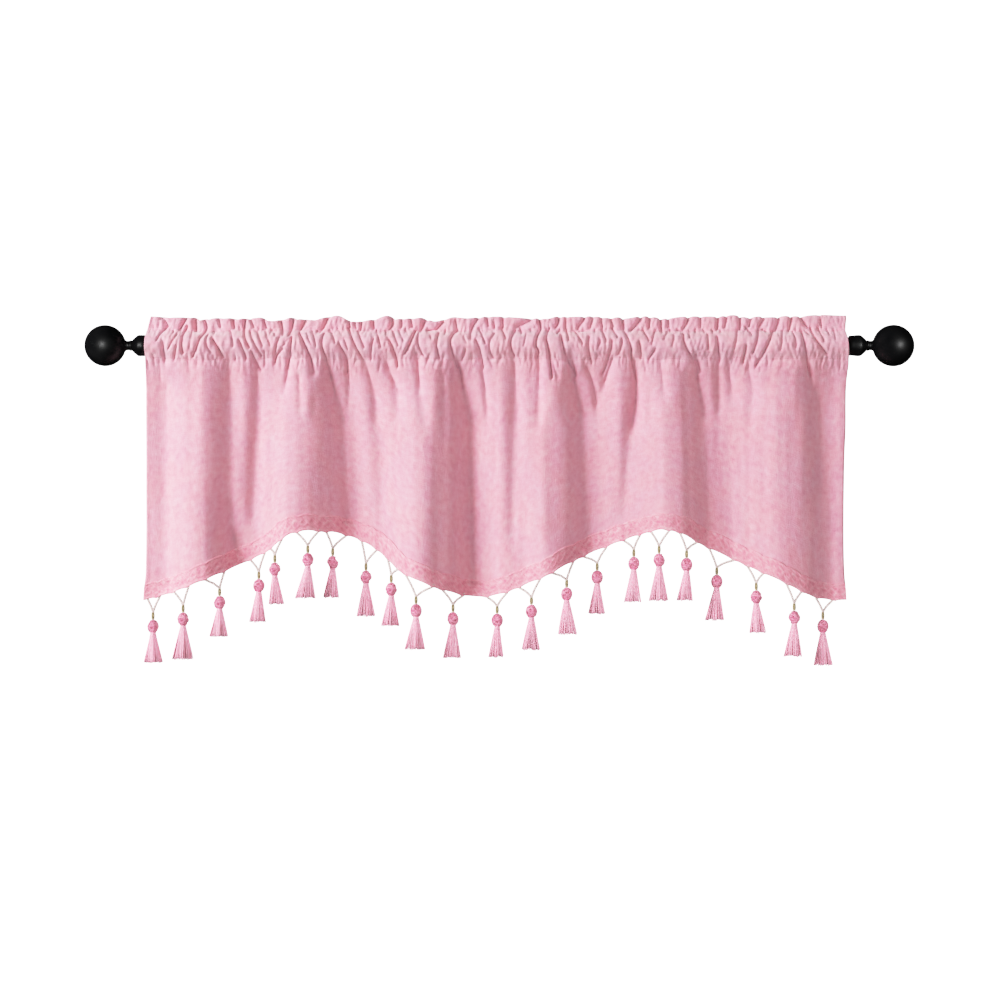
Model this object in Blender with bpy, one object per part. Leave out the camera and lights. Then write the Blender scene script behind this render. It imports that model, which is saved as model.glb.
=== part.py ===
"""A gathered window valance on a curtain rod with ball finials.

Metres, +Z up. The origin is on the rod's axis, halfway along it. X runs along the rod and the
room is towards -Y, so the front of the cloth faces -Y. "Out" below means towards the room.
"""

import math
from collections import namedtuple

import bmesh
import bpy
from mathutils import Vector

# ---- Driving dimensions -------------------------------------------------------------------

GAP = 0.0003  # between two pieces that are sewn, threaded or pushed together

ROD_RADIUS = 0.011
ROUND_SIDES = 20  # sides of every round metal piece
COLLAR_START = 0.467  # from the middle of the rod to the open end of a finial's collar
COLLAR_LENGTH = 0.0075
COLLAR_RADIUS = 0.0134
COLLAR_MOUTH_RADIUS = 0.0121
COLLAR_SWELL = 0.0045  # from the mouth to where the collar is widest
SOCKET_DEPTH = 0.0065
CONE_LENGTH = 0.0070  # from the collar down to the neck
NECK_RADIUS = 0.0060
NECK_RING_RADIUS = 0.0066
BALL_RADIUS = 0.0264
BALL_CENTRE = 0.5205  # from the middle of the rod
BALL_STEPS = 8  # facets of the ball's outline, from neck to tip

CLOTH_WIDTH = 0.919  # as gathered on the rod
CLOTH_MIDDLE = -0.0046  # the cloth hangs a little left of the middle of the rod
HALF_CLOTH = 0.001  # half the thickness of one layer
HALF_DOUBLE = 0.0018  # half the thickness where two layers are sewn together
GATHERS = 68  # pinches along the rod pocket, each with a crest and a trough column
GATHER_DEPTH = 0.0052
RUFFLE_DEPTH = 0.0072
HEADING_TOP = 0.0363
TOP_STITCH = 0.0198
LOWER_STITCH = -0.0178
BELOW_STITCH = -0.032  # down to here every gather still shows
POCKET_SLANT = 0.30  # sideways run of the slanting gathers for each metre of height
SLANT_LEFT = 0.4  # share of the slant that is left where the gathers end
GATHER_UNEVEN = 0.16  # of half a gather's width
FOLDS_SETTLE = 0.6  # under 1, the folds reach their full depth early on the way down
TOP_WAVE = 0.0012  # the heading's top edge rises and falls by this

BRAID_HEIGHT = 0.0185
BRAID_THICKNESS = 0.0016
BRAID_PAST_EDGE = 0.0015  # how far the braid turns past each side of the cloth

# The rows of the hanging skirt: 0 is where the gathers end, 1 the braid's top and 2 the hem.
SKIRT_ROWS = (0.12, 0.28, 0.46, 0.64, 0.82, 1.0, 2.0)

KNOT_RADIUS = 0.0072
NECK_OF_TASSEL = 0.0030
LOCKS = 8  # locks of yarn in one tassel
SKIRT_WAIST = 0.42  # share of the way down where the locks bend, and their spread there
SKIRT_WAIST_WIDTH = 0.62
LOCK_INSET = 0.00017  # half the slit between two locks where they leave the neck
LOCK_RAGGED = 0.0006
THREAD = 0.0011  # half the thread's width
THREAD_FOOT = 0.0006  # from the knot's top up to where the thread is its own width
THREAD_CROOK = 0.0016  # how far each leg of the V bends up from a straight line
FORK_HEIGHT = 0.0205  # from the knot's centre up to where its thread parts into a V
BEAD_RADIUS = 0.0022
BEAD_LENGTH = 0.0090
BEAD_BORE = 0.0016
BEAD_SIDES = 6

# The hem's line, from the middle of the cloth. z is below the rod's axis.
HemPoint = namedtuple("HemPoint", "x z")
HEM = [
    HemPoint(*point)
    for point in (
        (-0.460, -0.336),
        (-0.427, -0.328),
        (-0.329, -0.286),
        (-0.297, -0.269),
        (-0.274, -0.250),
        (-0.244, -0.2445),
        (-0.195, -0.251),
        (-0.149, -0.274),
        (-0.125, -0.298),
        (-0.086, -0.316),
        (-0.016, -0.3335),
        (0.059, -0.308),
        (0.106, -0.284),
        (0.205, -0.2457),
        (0.240, -0.2450),
        (0.279, -0.265),
        (0.383, -0.3137),
        (0.423, -0.3335),
        (0.460, -0.3375),
    )
]

# The crests (out > 0) and troughs (out < 0) of the hanging folds, from left to right, where
# they leave the pocket and where they reach the hem.
Fold = namedtuple("Fold", "x_top x_hem out_top out_hem")
FOLDS = [
    Fold(*fold)
    for fold in (
        (-0.460, -0.460, -0.006, -0.012),
        (-0.379, -0.388, 0.009, 0.015),
        (-0.347, -0.342, -0.004, -0.004),
        (-0.328, -0.334, 0.002, -0.005),
        (-0.308, -0.322, -0.006, -0.012),
        (-0.244, -0.258, 0.010, 0.020),
        (-0.213, -0.205, -0.006, -0.009),
        (-0.195, -0.181, -0.009, -0.023),
        (-0.174, -0.163, -0.001, -0.017),
        (-0.161, -0.154, -0.004, -0.014),
        (-0.077, -0.096, 0.010, 0.019),
        (-0.038, -0.018, -0.009, -0.021),
        (-0.021, -0.001, -0.003, -0.014),
        (0.014, 0.018, 0.003, -0.005),
        (0.028, 0.029, 0.000, -0.005),
        (0.079, 0.070, 0.009, 0.017),
        (0.111, 0.125, -0.006, -0.008),
        (0.132, 0.145, -0.008, -0.013),
        (0.173, 0.168, 0.002, -0.006),
        (0.186, 0.180, -0.005, -0.004),
        (0.229, 0.234, 0.008, 0.015),
        (0.277, 0.287, -0.004, -0.007),
        (0.297, 0.305, -0.009, -0.013),
        (0.387, 0.388, 0.010, 0.012),
        (0.448, 0.451, -0.010, -0.012),
        (0.460, 0.460, -0.008, -0.010),
    )
]

# The rows of the heading and the rod pocket, from the top down. shell is how far the cloth
# stands off the rod's axis on each side; gather, ruffle and fold say how much of each shows;
# left and right move the cloth's side edges outwards.
Row = namedtuple("Row", "z shell gather ruffle fold left right")
ROWS = [
    Row(*row)
    for row in (
        (HEADING_TOP, HALF_DOUBLE, 0.00, 1.00, 0.00, -0.009, -0.001),
        (0.0280, HALF_DOUBLE, 0.20, 0.70, 0.00, -0.003, 0.000),
        (TOP_STITCH, 0.0016, 0.45, 0.15, 0.00, 0.000, 0.001),
        (0.0085, 0.0108, 1.00, 0.00, 0.00, 0.002, 0.003),
        (0.0000, 0.0140, 1.00, 0.00, 0.00, 0.002, 0.004),
        (-0.0085, 0.0108, 1.00, 0.00, 0.00, 0.002, 0.004),
        (LOWER_STITCH, HALF_DOUBLE, 0.70, 0.00, 0.20, 0.001, 0.003),
        (BELOW_STITCH, HALF_CLOTH, 0.60, 0.00, 0.65, 0.000, 0.000),
    )
]
TOP_STITCH_ROW, LOWER_STITCH_ROW = 2, 6
POCKET_ROWS = range(TOP_STITCH_ROW + 1, LOWER_STITCH_ROW)

# The pocket's inside is drawn tight round the rod: it runs straight from each seam to where it
# first touches, and in between it is bent over the rod in two more straight steps.
UPPER_SEAM = 0.0165
LOWER_SEAM = -0.0148

# One row for each tassel, from left to right. x is from the middle of the cloth, drop from the
# hem down to the knot's centre, length from there to the tassel's end, lean how far that end
# hangs to one side; left and right are how far its thread runs each way to the hem.
Tassel = namedtuple("Tassel", "x drop length width lean left right")
TASSELS = [
    Tassel(*tassel)
    for tassel in (
        (-0.4535, 0.0376, 0.0472, 0.0219, 0.0004, 0.0055, 0.0075),
        (-0.4108, 0.0401, 0.0519, 0.0255, -0.0007, 0.0110, 0.0060),
        (-0.3633, 0.0385, 0.0441, 0.0225, -0.0010, 0.0160, 0.0045),
        (-0.3131, 0.0399, 0.0472, 0.0205, -0.0018, 0.0100, 0.0070),
        (-0.2906, 0.0325, 0.0453, 0.0190, 0.0018, 0.0045, 0.0085),
        (-0.2460, 0.0385, 0.0495, 0.0236, -0.0032, 0.0135, 0.0120),
        (-0.2149, 0.0408, 0.0456, 0.0196, -0.0022, 0.0070, 0.0165),
        (-0.1717, 0.0467, 0.0511, 0.0236, -0.0004, 0.0045, 0.0140),
        (-0.1374, 0.0370, 0.0474, 0.0211, -0.0016, 0.0040, 0.0085),
        (-0.1037, 0.0408, 0.0501, 0.0245, -0.0024, 0.0125, 0.0210),
        (-0.0555, 0.0350, 0.0507, 0.0227, -0.0016, 0.0130, 0.0120),
        (0.0029, 0.0340, 0.0480, 0.0190, -0.0014, 0.0120, 0.0120),
        (0.0481, 0.0388, 0.0501, 0.0240, -0.0008, 0.0145, 0.0100),
        (0.0945, 0.0390, 0.0522, 0.0238, 0.0004, 0.0175, 0.0080),
        (0.1355, 0.0356, 0.0478, 0.0205, -0.0004, 0.0165, 0.0110),
        (0.1836, 0.0360, 0.0501, 0.0211, -0.0018, 0.0120, 0.0070),
        (0.2161, 0.0403, 0.0526, 0.0230, -0.0012, 0.0090, 0.0125),
        (0.2524, 0.0395, 0.0464, 0.0207, -0.0019, 0.0080, 0.0145),
        (0.2939, 0.0406, 0.0503, 0.0242, -0.0034, 0.0090, 0.0225),
        (0.3453, 0.0370, 0.0461, 0.0205, 0.0012, 0.0100, 0.0080),
        (0.3939, 0.0399, 0.0501, 0.0238, -0.0020, 0.0085, 0.0090),
        (0.4343, 0.0360, 0.0509, 0.0232, 0.0000, 0.0085, 0.0120),
    )
]

# The knot's rings from its neck up. relief is the share by which its wraps stand proud.
KnotRing = namedtuple("KnotRing", "z radius relief")
KNOT = [
    KnotRing(-0.0105, NECK_OF_TASSEL, 0.00),
    KnotRing(-0.0078, NECK_OF_TASSEL * 0.95, 0.00),
    KnotRing(-0.0050, KNOT_RADIUS * 0.84, 0.07),
    KnotRing(-0.0008, KNOT_RADIUS * 1.05, -0.07),
    KnotRing(0.0038, KNOT_RADIUS * 0.96, 0.07),
    KnotRing(0.0076, KNOT_RADIUS * 0.58, 0.00),
    KnotRing(0.0092, THREAD * 1.5, 0.00),
]


# ---- Small helpers ------------------------------------------------------------------------


def mix(a, b, share):
    return a + (b - a) * share


def ease(share):
    """0 to 1 with a level start and end."""
    return (1 - math.cos(math.pi * share)) / 2


def clear_scene():
    for obj in list(bpy.data.objects):
        bpy.data.objects.remove(obj)


def material(name, colour, roughness, metallic=0.0):
    made = bpy.data.materials.new(name)
    made.use_nodes = True
    surface = made.node_tree.nodes["Principled BSDF"]
    surface.inputs["Base Color"].default_value = (*colour, 1.0)
    surface.inputs["Roughness"].default_value = roughness
    surface.inputs["Metallic"].default_value = metallic
    return made


def finish(bm, name, look, location=(0, 0, 0), smooth_angle=None):
    """Turns a bmesh into the scene's object of that name."""
    bmesh.ops.recalc_face_normals(bm, faces=bm.faces)
    mesh = bpy.data.meshes.new(name)
    bm.to_mesh(mesh)
    bm.free()
    mesh.materials.append(look)
    if smooth_angle is not None:
        mesh.shade_smooth()
        mesh.set_sharp_from_angle(angle=smooth_angle)
    made = bpy.data.objects.new(name, mesh)
    made.location = location
    bpy.context.scene.collection.objects.link(made)
    return made


# ---- The cloth's shape --------------------------------------------------------------------


def hem_z(x):
    """The hem's height at x, on a smooth curve through HEM."""
    for left in range(len(HEM) - 2):
        if x < HEM[left + 1].x:
            break
    else:
        left = len(HEM) - 2
    a, b = HEM[left], HEM[left + 1]
    before, after = HEM[max(left - 1, 0)], HEM[min(left + 2, len(HEM) - 1)]
    slope_a = (b.z - before.z) / (b.x - before.x)
    slope_b = (after.z - a.z) / (after.x - a.x)
    width = b.x - a.x
    s = (x - a.x) / width
    return (
        a.z * (1 + 2 * s) * (1 - s) ** 2
        + slope_a * width * s * (1 - s) ** 2
        + b.z * s * s * (3 - 2 * s)
        + slope_b * width * s * s * (s - 1)
    )


def fold_out(x, down):
    """How far the hanging folds stand out at x; down is 0 at the pocket and 1 at the hem."""
    share = ease(min(1.0, max(0.0, down))) ** FOLDS_SETTLE
    xs = [mix(fold.x_top, fold.x_hem, share) for fold in FOLDS]
    outs = [mix(fold.out_top, fold.out_hem, share) for fold in FOLDS]
    for left in range(len(xs) - 1):
        if x <= xs[left + 1]:
            break
    s = (x - xs[left]) / (xs[left + 1] - xs[left])
    return mix(outs[left], outs[left + 1], ease(min(1.0, max(0.0, s))))


def column_x(i):
    """Where gather column i is sewn: evenly spaced but for a small unevenness."""
    step = CLOTH_WIDTH / (2 * GATHERS)
    uneven = 0.0
    if i not in (0, 2 * GATHERS):
        uneven = GATHER_UNEVEN * (math.sin(2.4 * i) + 0.75 * math.sin(1.1 * i))
    return -CLOTH_WIDTH / 2 + step * (i + uneven)


def gather_out(i, phase=0.0):
    """Odd columns are the crests of the gathers and even ones their troughs."""
    if i % 2 == 0:
        return 0.0
    return GATHER_DEPTH * (0.8 + 0.2 * math.sin(1.9 * i + phase))


def ruffle_out(i):
    """The heading's wider waves, four columns or so to each."""
    height = RUFFLE_DEPTH * (0.75 + 0.25 * math.sin(0.83 * i))
    return height * math.cos(math.pi / 2 * i + 1.3 * math.sin(0.37 * i))


def slant(i, z):
    """Sideways shift of column i at height z, where the pocket's gathers lean."""
    if i in (0, 2 * GATHERS):
        return 0.0
    return POCKET_SLANT * math.sin(0.43 * i) * max(LOWER_STITCH, min(TOP_STITCH, z))


def channel():
    """Half of the pocket's inside, from its upper seam to its lower one, as (off the axis, z)."""
    touch = ROD_RADIUS + GAP
    first = math.pi / 2 - math.acos(touch / UPPER_SEAM)
    last = math.acos(touch / -LOWER_SEAM) - math.pi / 2
    touching = [mix(first, last, share / 3) for share in range(4)]
    points = [(0.0, UPPER_SEAM)]
    for above, below in zip(touching, touching[1:]):
        angle = (above + below) / 2
        reach = touch / math.cos((above - below) / 2)
        points.append((reach * math.cos(angle), reach * math.sin(angle)))
    points.append((0.0, LOWER_SEAM))
    return points


def edge_shift(i, row):
    """The first and last columns follow the cloth's uneven side edges."""
    if i == 0:
        return -row.left
    return row.right if i == 2 * GATHERS else 0.0


def row_points(row, index):
    """Front and back points of one row of the heading or the pocket, from left to right."""
    front, back = [], []
    for i in range(2 * GATHERS + 1):
        x = column_x(i)
        z = row.z
        if index == 0:
            z += TOP_WAVE * (math.sin(0.61 * i) + 0.7 * math.sin(1.7 * i))
        moved = row.ruffle * ruffle_out(i) + row.fold * fold_out(x, 0.0)
        shift = slant(i, row.z) * (SLANT_LEFT if row.z == BELOW_STITCH else 1.0)
        at = CLOTH_MIDDLE + x + shift + edge_shift(i, row)
        front.append((at, -(row.shell + moved + row.gather * gather_out(i)), z))
        if index in POCKET_ROWS:
            back.append((at, row.shell + row.gather * gather_out(i, phase=2.0), z))
        else:
            back.append((at, row.shell - moved - row.gather * gather_out(i), z))
    return front, back


def skirt_points(row):
    """Front and back points of a row of the skirt, under every second column above."""
    front, back = [], []
    for i in range(0, 2 * GATHERS + 1, 2):
        x = column_x(i)
        hem = hem_z(x)
        z = mix(BELOW_STITCH, hem + BRAID_HEIGHT, min(row, 1)) - BRAID_HEIGHT * max(row - 1, 0)
        out = fold_out(x, (LOWER_STITCH - z) / (LOWER_STITCH - hem))
        front.append((CLOTH_MIDDLE + x, -(HALF_CLOTH + out), z))
        back.append((CLOTH_MIDDLE + x, HALF_CLOTH - out, z))
    return front, back


def along_hem(x):
    """The middle of the cloth's faceted hem at x, as (y, z)."""
    front, back = skirt_points(SKIRT_ROWS[-1])
    for left in range(len(front) - 2):
        if x < front[left + 1][0]:
            break
    else:
        left = len(front) - 2
    s = (x - front[left][0]) / (front[left + 1][0] - front[left][0])
    y = [mix(side[left][1], side[left + 1][1], s) for side in (front, back)]
    return sum(y) / 2, mix(front[left][2], front[left + 1][2], s)


# ---- Meshing ------------------------------------------------------------------------------


def skin(bm, upper, lower):
    """Triangles between two rows of vertices; the lower may have half as many columns."""
    if len(upper) == len(lower):
        for a, b, c, d in zip(upper, upper[1:], lower[1:], lower):
            bm.faces.new((a, b, c))
            bm.faces.new((a, c, d))
        return
    for k, (left, right) in enumerate(zip(lower, lower[1:])):
        a, b, c = upper[2 * k : 2 * k + 3]
        bm.faces.new((a, b, left))
        bm.faces.new((b, right, left))
        bm.faces.new((b, c, right))


def tube(bm, rings):
    """Faces joining closed rings of vertices, each to the next."""
    for ring, following in zip(rings, rings[1:]):
        for k in range(len(ring)):
            m = (k + 1) % len(ring)
            bm.faces.new((ring[k], ring[m], following[m], following[k]))


def turned(bm, profile, sides):
    """A closed solid turned about the X axis from (along, radius) points that start and end on it."""
    rings = []
    for along, radius in profile[1:-1]:
        turns = [2 * math.pi * k / sides for k in range(sides)]
        rings.append(
            [bm.verts.new((along, radius * math.cos(a), radius * math.sin(a))) for a in turns]
        )
    tube(bm, rings)
    for ring, (along, _) in ((rings[0], profile[0]), (rings[-1], profile[-1])):
        tip = bm.verts.new((along, 0, 0))
        for k in range(sides):
            bm.faces.new((ring[k], ring[(k + 1) % sides], tip))


# ---- The pieces ---------------------------------------------------------------------------


def make_rod(look):
    end = COLLAR_START + SOCKET_DEPTH - GAP
    bm = bmesh.new()
    turned(bm, [(-end, 0), (-end, ROD_RADIUS), (end, ROD_RADIUS), (end, 0)], ROUND_SIDES)
    finish(bm, "rod", look, smooth_angle=math.radians(30))


def finial_profile():
    """Socket for the rod's end, collar, neck and ball, from the socket's bottom to the tip."""
    socket = ROD_RADIUS + GAP
    shoulder = COLLAR_START + COLLAR_LENGTH
    ring = shoulder + CONE_LENGTH
    profile = [
        (COLLAR_START + SOCKET_DEPTH, 0),
        (COLLAR_START + SOCKET_DEPTH, socket),
        (COLLAR_START, socket),
        (COLLAR_START, COLLAR_MOUTH_RADIUS),
        (COLLAR_START + COLLAR_SWELL, COLLAR_RADIUS),
        (shoulder, COLLAR_RADIUS),
        (mix(shoulder, ring, 0.55), mix(COLLAR_RADIUS, NECK_RING_RADIUS, 0.55)),
        (ring, NECK_RING_RADIUS),
        (mix(ring, BALL_CENTRE - BALL_RADIUS, 0.5), NECK_RING_RADIUS),
    ]
    start = math.asin(NECK_RADIUS / BALL_RADIUS)
    for step in range(BALL_STEPS):
        angle = mix(start, math.pi, step / BALL_STEPS)
        profile.append(
            (BALL_CENTRE - BALL_RADIUS * math.cos(angle), BALL_RADIUS * math.sin(angle))
        )
    profile.append((BALL_CENTRE + BALL_RADIUS, 0))
    return profile


def make_finial(name, side, look):
    bm = bmesh.new()
    turned(bm, [(side * along, radius) for along, radius in finial_profile()], ROUND_SIDES)
    finish(bm, name, look, smooth_angle=math.radians(35))


def make_panel(look):
    """One cloth: heading, rod pocket with its straight channel, and the hanging skirt."""
    bm = bmesh.new()
    fronts, backs = [], []
    lines = [row_points(row, index) for index, row in enumerate(ROWS)]
    lines += [skirt_points(row) for row in SKIRT_ROWS]
    for front, back in lines:
        fronts.append([bm.verts.new(point) for point in front])
        backs.append([bm.verts.new(point) for point in back])
    for side in (fronts, backs):
        for upper, lower in zip(side, side[1:]):
            skin(bm, upper, lower)
    skin(bm, fronts[0], backs[0])
    skin(bm, fronts[-1], backs[-1])
    rings = []
    for end in (0, -1):
        rings.append(close_side(bm, fronts, backs, end))
    tube(bm, rings)
    finish(bm, "panel", look, smooth_angle=math.radians(70))


def close_side(bm, fronts, backs, end):
    """The cloth's cut edge at one side, with the mouth of the rod channel. Returns the mouth."""
    x = fronts[TOP_STITCH_ROW][end].co.x
    inside = channel()
    near = [bm.verts.new((x, -off, z)) for off, z in inside]
    far = [bm.verts.new((x, off, z)) for off, z in inside[1:-1]]
    far = [near[0], *far, near[-1]]
    for k in range(len(fronts) - 1):
        if TOP_STITCH_ROW <= k < LOWER_STITCH_ROW:
            inner = k - TOP_STITCH_ROW
            bm.faces.new((fronts[k][end], fronts[k + 1][end], near[inner + 1], near[inner]))
            bm.faces.new((backs[k][end], backs[k + 1][end], far[inner + 1], far[inner]))
        else:
            bm.faces.new((fronts[k][end], fronts[k + 1][end], backs[k + 1][end], backs[k][end]))
    for row, seam in ((TOP_STITCH_ROW, near[0]), (LOWER_STITCH_ROW, near[-1])):
        bm.faces.new((fronts[row][end], backs[row][end], seam))
    return near + far[-2:0:-1]


def make_braid(look):
    """The braid sewn over the front of the hem, a little past each side of the cloth."""
    bm = bmesh.new()
    rows = []
    for row in SKIRT_ROWS[-2:]:
        front, _ = skirt_points(row)
        first, last = Vector(front[0]), Vector(front[-1])
        before = (first - Vector(front[1])).normalized() * BRAID_PAST_EDGE
        after = (last - Vector(front[-2])).normalized() * BRAID_PAST_EDGE
        line = [first + before, *[Vector(point) for point in front[1:-1]], last + after]
        for off in (GAP, GAP + BRAID_THICKNESS):
            rows.append([bm.verts.new(point - Vector((0, off, 0))) for point in line])
    inner_top, outer_top, inner_hem, outer_hem = rows
    skin(bm, inner_top, inner_hem)
    skin(bm, outer_top, outer_hem)
    skin(bm, inner_top, outer_top)
    skin(bm, inner_hem, outer_hem)
    for end in (0, -1):
        bm.faces.new((inner_top[end], outer_top[end], outer_hem[end], inner_hem[end]))
    finish(bm, "hem_braid", look, smooth_angle=math.radians(70))


def ring_at(bm, z, radius, sides, relief=0.0):
    """A level ring; relief makes every second vertex stand out and the others back."""
    points = []
    for k in range(sides):
        angle = 2 * math.pi * k / sides
        r = radius * (1 + (relief if k % 2 else -relief))
        points.append(bm.verts.new((r * math.cos(angle), r * math.sin(angle), z)))
    return points


def add_locks(bm, ring, centre, tassel):
    """Locks of yarn, each drawn out of its own sector under the knot's neck."""
    sectors = [
        bm.faces.new((ring[k], ring[(k + 1) % LOCKS], centre)) for k in range(LOCKS)
    ]
    bm.normal_update()
    bmesh.ops.inset_individual(bm, faces=sectors, thickness=LOCK_INSET)
    spread = tassel.width / 2 / NECK_OF_TASSEL
    root = centre.co.z
    stages = ((SKIRT_WAIST, spread * SKIRT_WAIST_WIDTH), (1.0, 1 / SKIRT_WAIST_WIDTH))
    reached, leaned = root, 0.0
    for share, wider in stages:
        drawn = bmesh.ops.extrude_discrete_faces(bm, faces=sectors)["faces"]
        sectors = sorted(drawn, key=lambda face: math.atan2(*face.calc_center_median().yx))
        level = mix(root, -tassel.length, share)
        lean = tassel.lean * share
        for k, face in enumerate(sectors):
            ragged = LOCK_RAGGED * share * math.sin(2.4 * k + 31 * tassel.x)
            for vertex in face.verts:
                vertex.co.x = (vertex.co.x - leaned) * wider + lean
                vertex.co.y *= wider
                vertex.co.z += level - reached + ragged
        reached, leaned = level, lean


def add_thread(bm, ring, ends):
    """The thread above the knot: a stem that parts into a V, one end for each of ends."""
    foot = [bm.verts.new(point) for point in diamond(ring[0].co.z + THREAD_FOOT)]
    for k in range(4):
        a, b, c = ring[2 * k], ring[2 * k + 1], ring[(2 * k + 2) % LOCKS]
        bm.faces.new((a, b, foot[k]))
        bm.faces.new((b, c, foot[(k + 1) % 4]))
        bm.faces.new((b, foot[(k + 1) % 4], foot[k]))
    fork = [bm.verts.new(point) for point in diamond(FORK_HEIGHT)]
    tube(bm, [foot, fork])
    right, back, left, front = fork
    for corner, end in ((left, ends[0]), (right, ends[1])):
        start = [corner, back, front]
        bend = [vertex.co.lerp(tip, 0.35) for vertex, tip in zip(start, end)]
        crook = [bm.verts.new(point + Vector((0, 0, THREAD_CROOK))) for point in bend]
        tips = [bm.verts.new(tip) for tip in end]
        tube(bm, [start, crook, tips])
        bm.faces.new(tips)


def diamond(z):
    """The thread's four corners at height z: right, back, left, front."""
    return [(THREAD, 0, z), (0, THREAD, z), (-THREAD, 0, z), (0, -THREAD, z)]


def thread_end(tassel, side, place):
    """Three corners of the thread's end, just under the hem's edge, from the knot's centre."""
    x = place.x + side * (tassel.left if side < 0 else tassel.right)
    y, _ = along_hem(x)
    corners = []
    for dx, dy in ((side * THREAD, 0), (0, 0.8 * THREAD), (0, -0.8 * THREAD)):
        _, z = along_hem(x + dx)
        corners.append(Vector((x + dx, y + dy, z - GAP)) - place)
    return corners


def make_tassel(number, tassel, look):
    x = CLOTH_MIDDLE + tassel.x
    y, hem = along_hem(x)
    place = Vector((x, y, hem - tassel.drop))
    bm = bmesh.new()
    rings = [ring_at(bm, ring.z, ring.radius, LOCKS, ring.relief) for ring in KNOT]
    tube(bm, rings)
    centre = bm.verts.new((0, 0, rings[0][0].co.z))
    add_locks(bm, rings[0], centre, tassel)
    add_thread(bm, rings[-1], [thread_end(tassel, side, place) for side in (-1, 1)])
    finish(bm, f"tassel_{number:02d}", look, location=place)
    return place + Vector((0, 0, KNOT[-1].z + THREAD_FOOT + GAP + BEAD_LENGTH / 2))


def make_bead(number, place, look):
    """A small barrel bead with the thread through its bore."""
    bm = bmesh.new()
    half = BEAD_LENGTH / 2
    end = BEAD_RADIUS * 0.93
    profile = [(-half, BEAD_BORE), (-half, end), (0, BEAD_RADIUS), (half, end), (half, BEAD_BORE)]
    rings = [ring_at(bm, z, radius, BEAD_SIDES) for z, radius in profile]
    tube(bm, [*rings, rings[0]])
    finish(bm, f"bead_{number:02d}", look, location=place, smooth_angle=math.radians(50))


def main():
    clear_scene()
    black = material("black_enamel", (0.012, 0.012, 0.013), 0.32, 0.2)
    cloth = material("rose_cloth", (0.74, 0.37, 0.44), 0.9)
    trim = material("rose_braid", (0.76, 0.36, 0.44), 0.85)
    yarn = material("rose_yarn", (0.72, 0.30, 0.40), 0.85)
    gold = material("old_gold", (0.50, 0.38, 0.20), 0.35, 0.9)
    make_rod(black)
    make_finial("finial_left", -1, black)
    make_finial("finial_right", 1, black)
    make_panel(cloth)
    make_braid(trim)
    for number, tassel in enumerate(TASSELS, start=1):
        bead_place = make_tassel(number, tassel, yarn)
        make_bead(number, bead_place, gold)


main()
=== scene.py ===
"""The looks of a gathered window valance on a curtain rod with ball finials.

Metres, +Z up, on the frame's own axes: the origin is on the rod's axis, X runs along the rod and
the front of the cloth faces -Y. "Out" means towards the room, so y = -out. The crease tables are
in millimetres, from the middle of the cloth and from the rod's axis.
"""

import math
from collections import namedtuple
from functools import partialmethod

import bmesh
import bpy
import numpy as np
from mathutils import Matrix, Vector
from mathutils.bvhtree import BVHTree


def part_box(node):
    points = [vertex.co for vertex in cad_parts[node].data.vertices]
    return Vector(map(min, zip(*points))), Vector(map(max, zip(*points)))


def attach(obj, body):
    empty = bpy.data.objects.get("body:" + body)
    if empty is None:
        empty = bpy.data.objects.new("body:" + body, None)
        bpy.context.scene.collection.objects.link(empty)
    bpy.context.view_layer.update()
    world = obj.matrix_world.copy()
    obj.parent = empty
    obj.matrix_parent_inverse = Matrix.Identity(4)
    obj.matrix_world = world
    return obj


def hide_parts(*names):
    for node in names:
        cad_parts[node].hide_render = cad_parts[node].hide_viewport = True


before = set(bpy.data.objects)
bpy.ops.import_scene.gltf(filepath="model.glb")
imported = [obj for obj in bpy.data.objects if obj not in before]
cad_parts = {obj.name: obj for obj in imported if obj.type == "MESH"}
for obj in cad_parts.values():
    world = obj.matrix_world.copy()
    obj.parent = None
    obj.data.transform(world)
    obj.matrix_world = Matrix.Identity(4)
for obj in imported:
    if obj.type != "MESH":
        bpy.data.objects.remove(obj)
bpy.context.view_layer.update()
MM = 0.001

# ---- Sizes ----

CLOTH_THICKNESS = 0.0012
LAYER = 0.0011  # from the middle of a double layer to the middle of each of its cloths
HEADING_CELLS = 800  # across the gathered heading; the hanging cloth has half as many
BAND_STEPS = (25, 11, 20, 9)  # rows of the hanging cloth, below the pocket, on it and in the ruffle
TURN_STEPS = 3  # over the ruffle's top edge
BACK_CELLS = 500
UNDER_STITCH = 0.007  # how far the turned-in edge reaches below the lower stitch, at the back

UPPER_STITCH = 0.0190
LOWER_STITCH = -0.0180
GATHERS_END = -0.048
FOLDS_FULL = -0.066  # below here the hanging folds stand out in full
FOLD_SHARE = 0.92  # of the solid's folds; the creases add the rest
GATHER_WIDTH = 0.52  # of the width in the table
DEEPEST_GATHER = 0.0092
RIDGE_SHARE = 0.5  # how high the cloth stands up beside a gather, for its depth
RIDGE_WIDTH = 2.2 * GATHER_WIDTH
GIVE = 0.25  # how much of a crease shows where the cloth lies on the rod,
ON_ROD = -0.0004  # and how deep it can go there
HEM_SOFTNESS = 0.006  # how far the solid's steps are smoothed along its hem,
FOLD_SOFTNESS = 0.0045  # and along its folds
INSIDE_EDGE = 0.0004  # the folds are measured this far inside the solid's side edges,
ABOVE_HEM = 0.0025  # and down to this far above its hem
POCKET_GAIN = 1.9  # how many times deeper than in the table the creases are up to the upper stitch,
RUFFLE_GAIN = 3.3  # and how many times at the heading's free top edge,
RUFFLE_TOP = 0.037  # which is about here
TOP_DIP = 0.16  # how far a crease draws the top edge down, for its depth
SIDE_HEM = 0.0115
SIDE_HEM_STEP = 0.0002
SHARP_ABOVE = -0.044  # the creases grow rounder below here,
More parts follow.
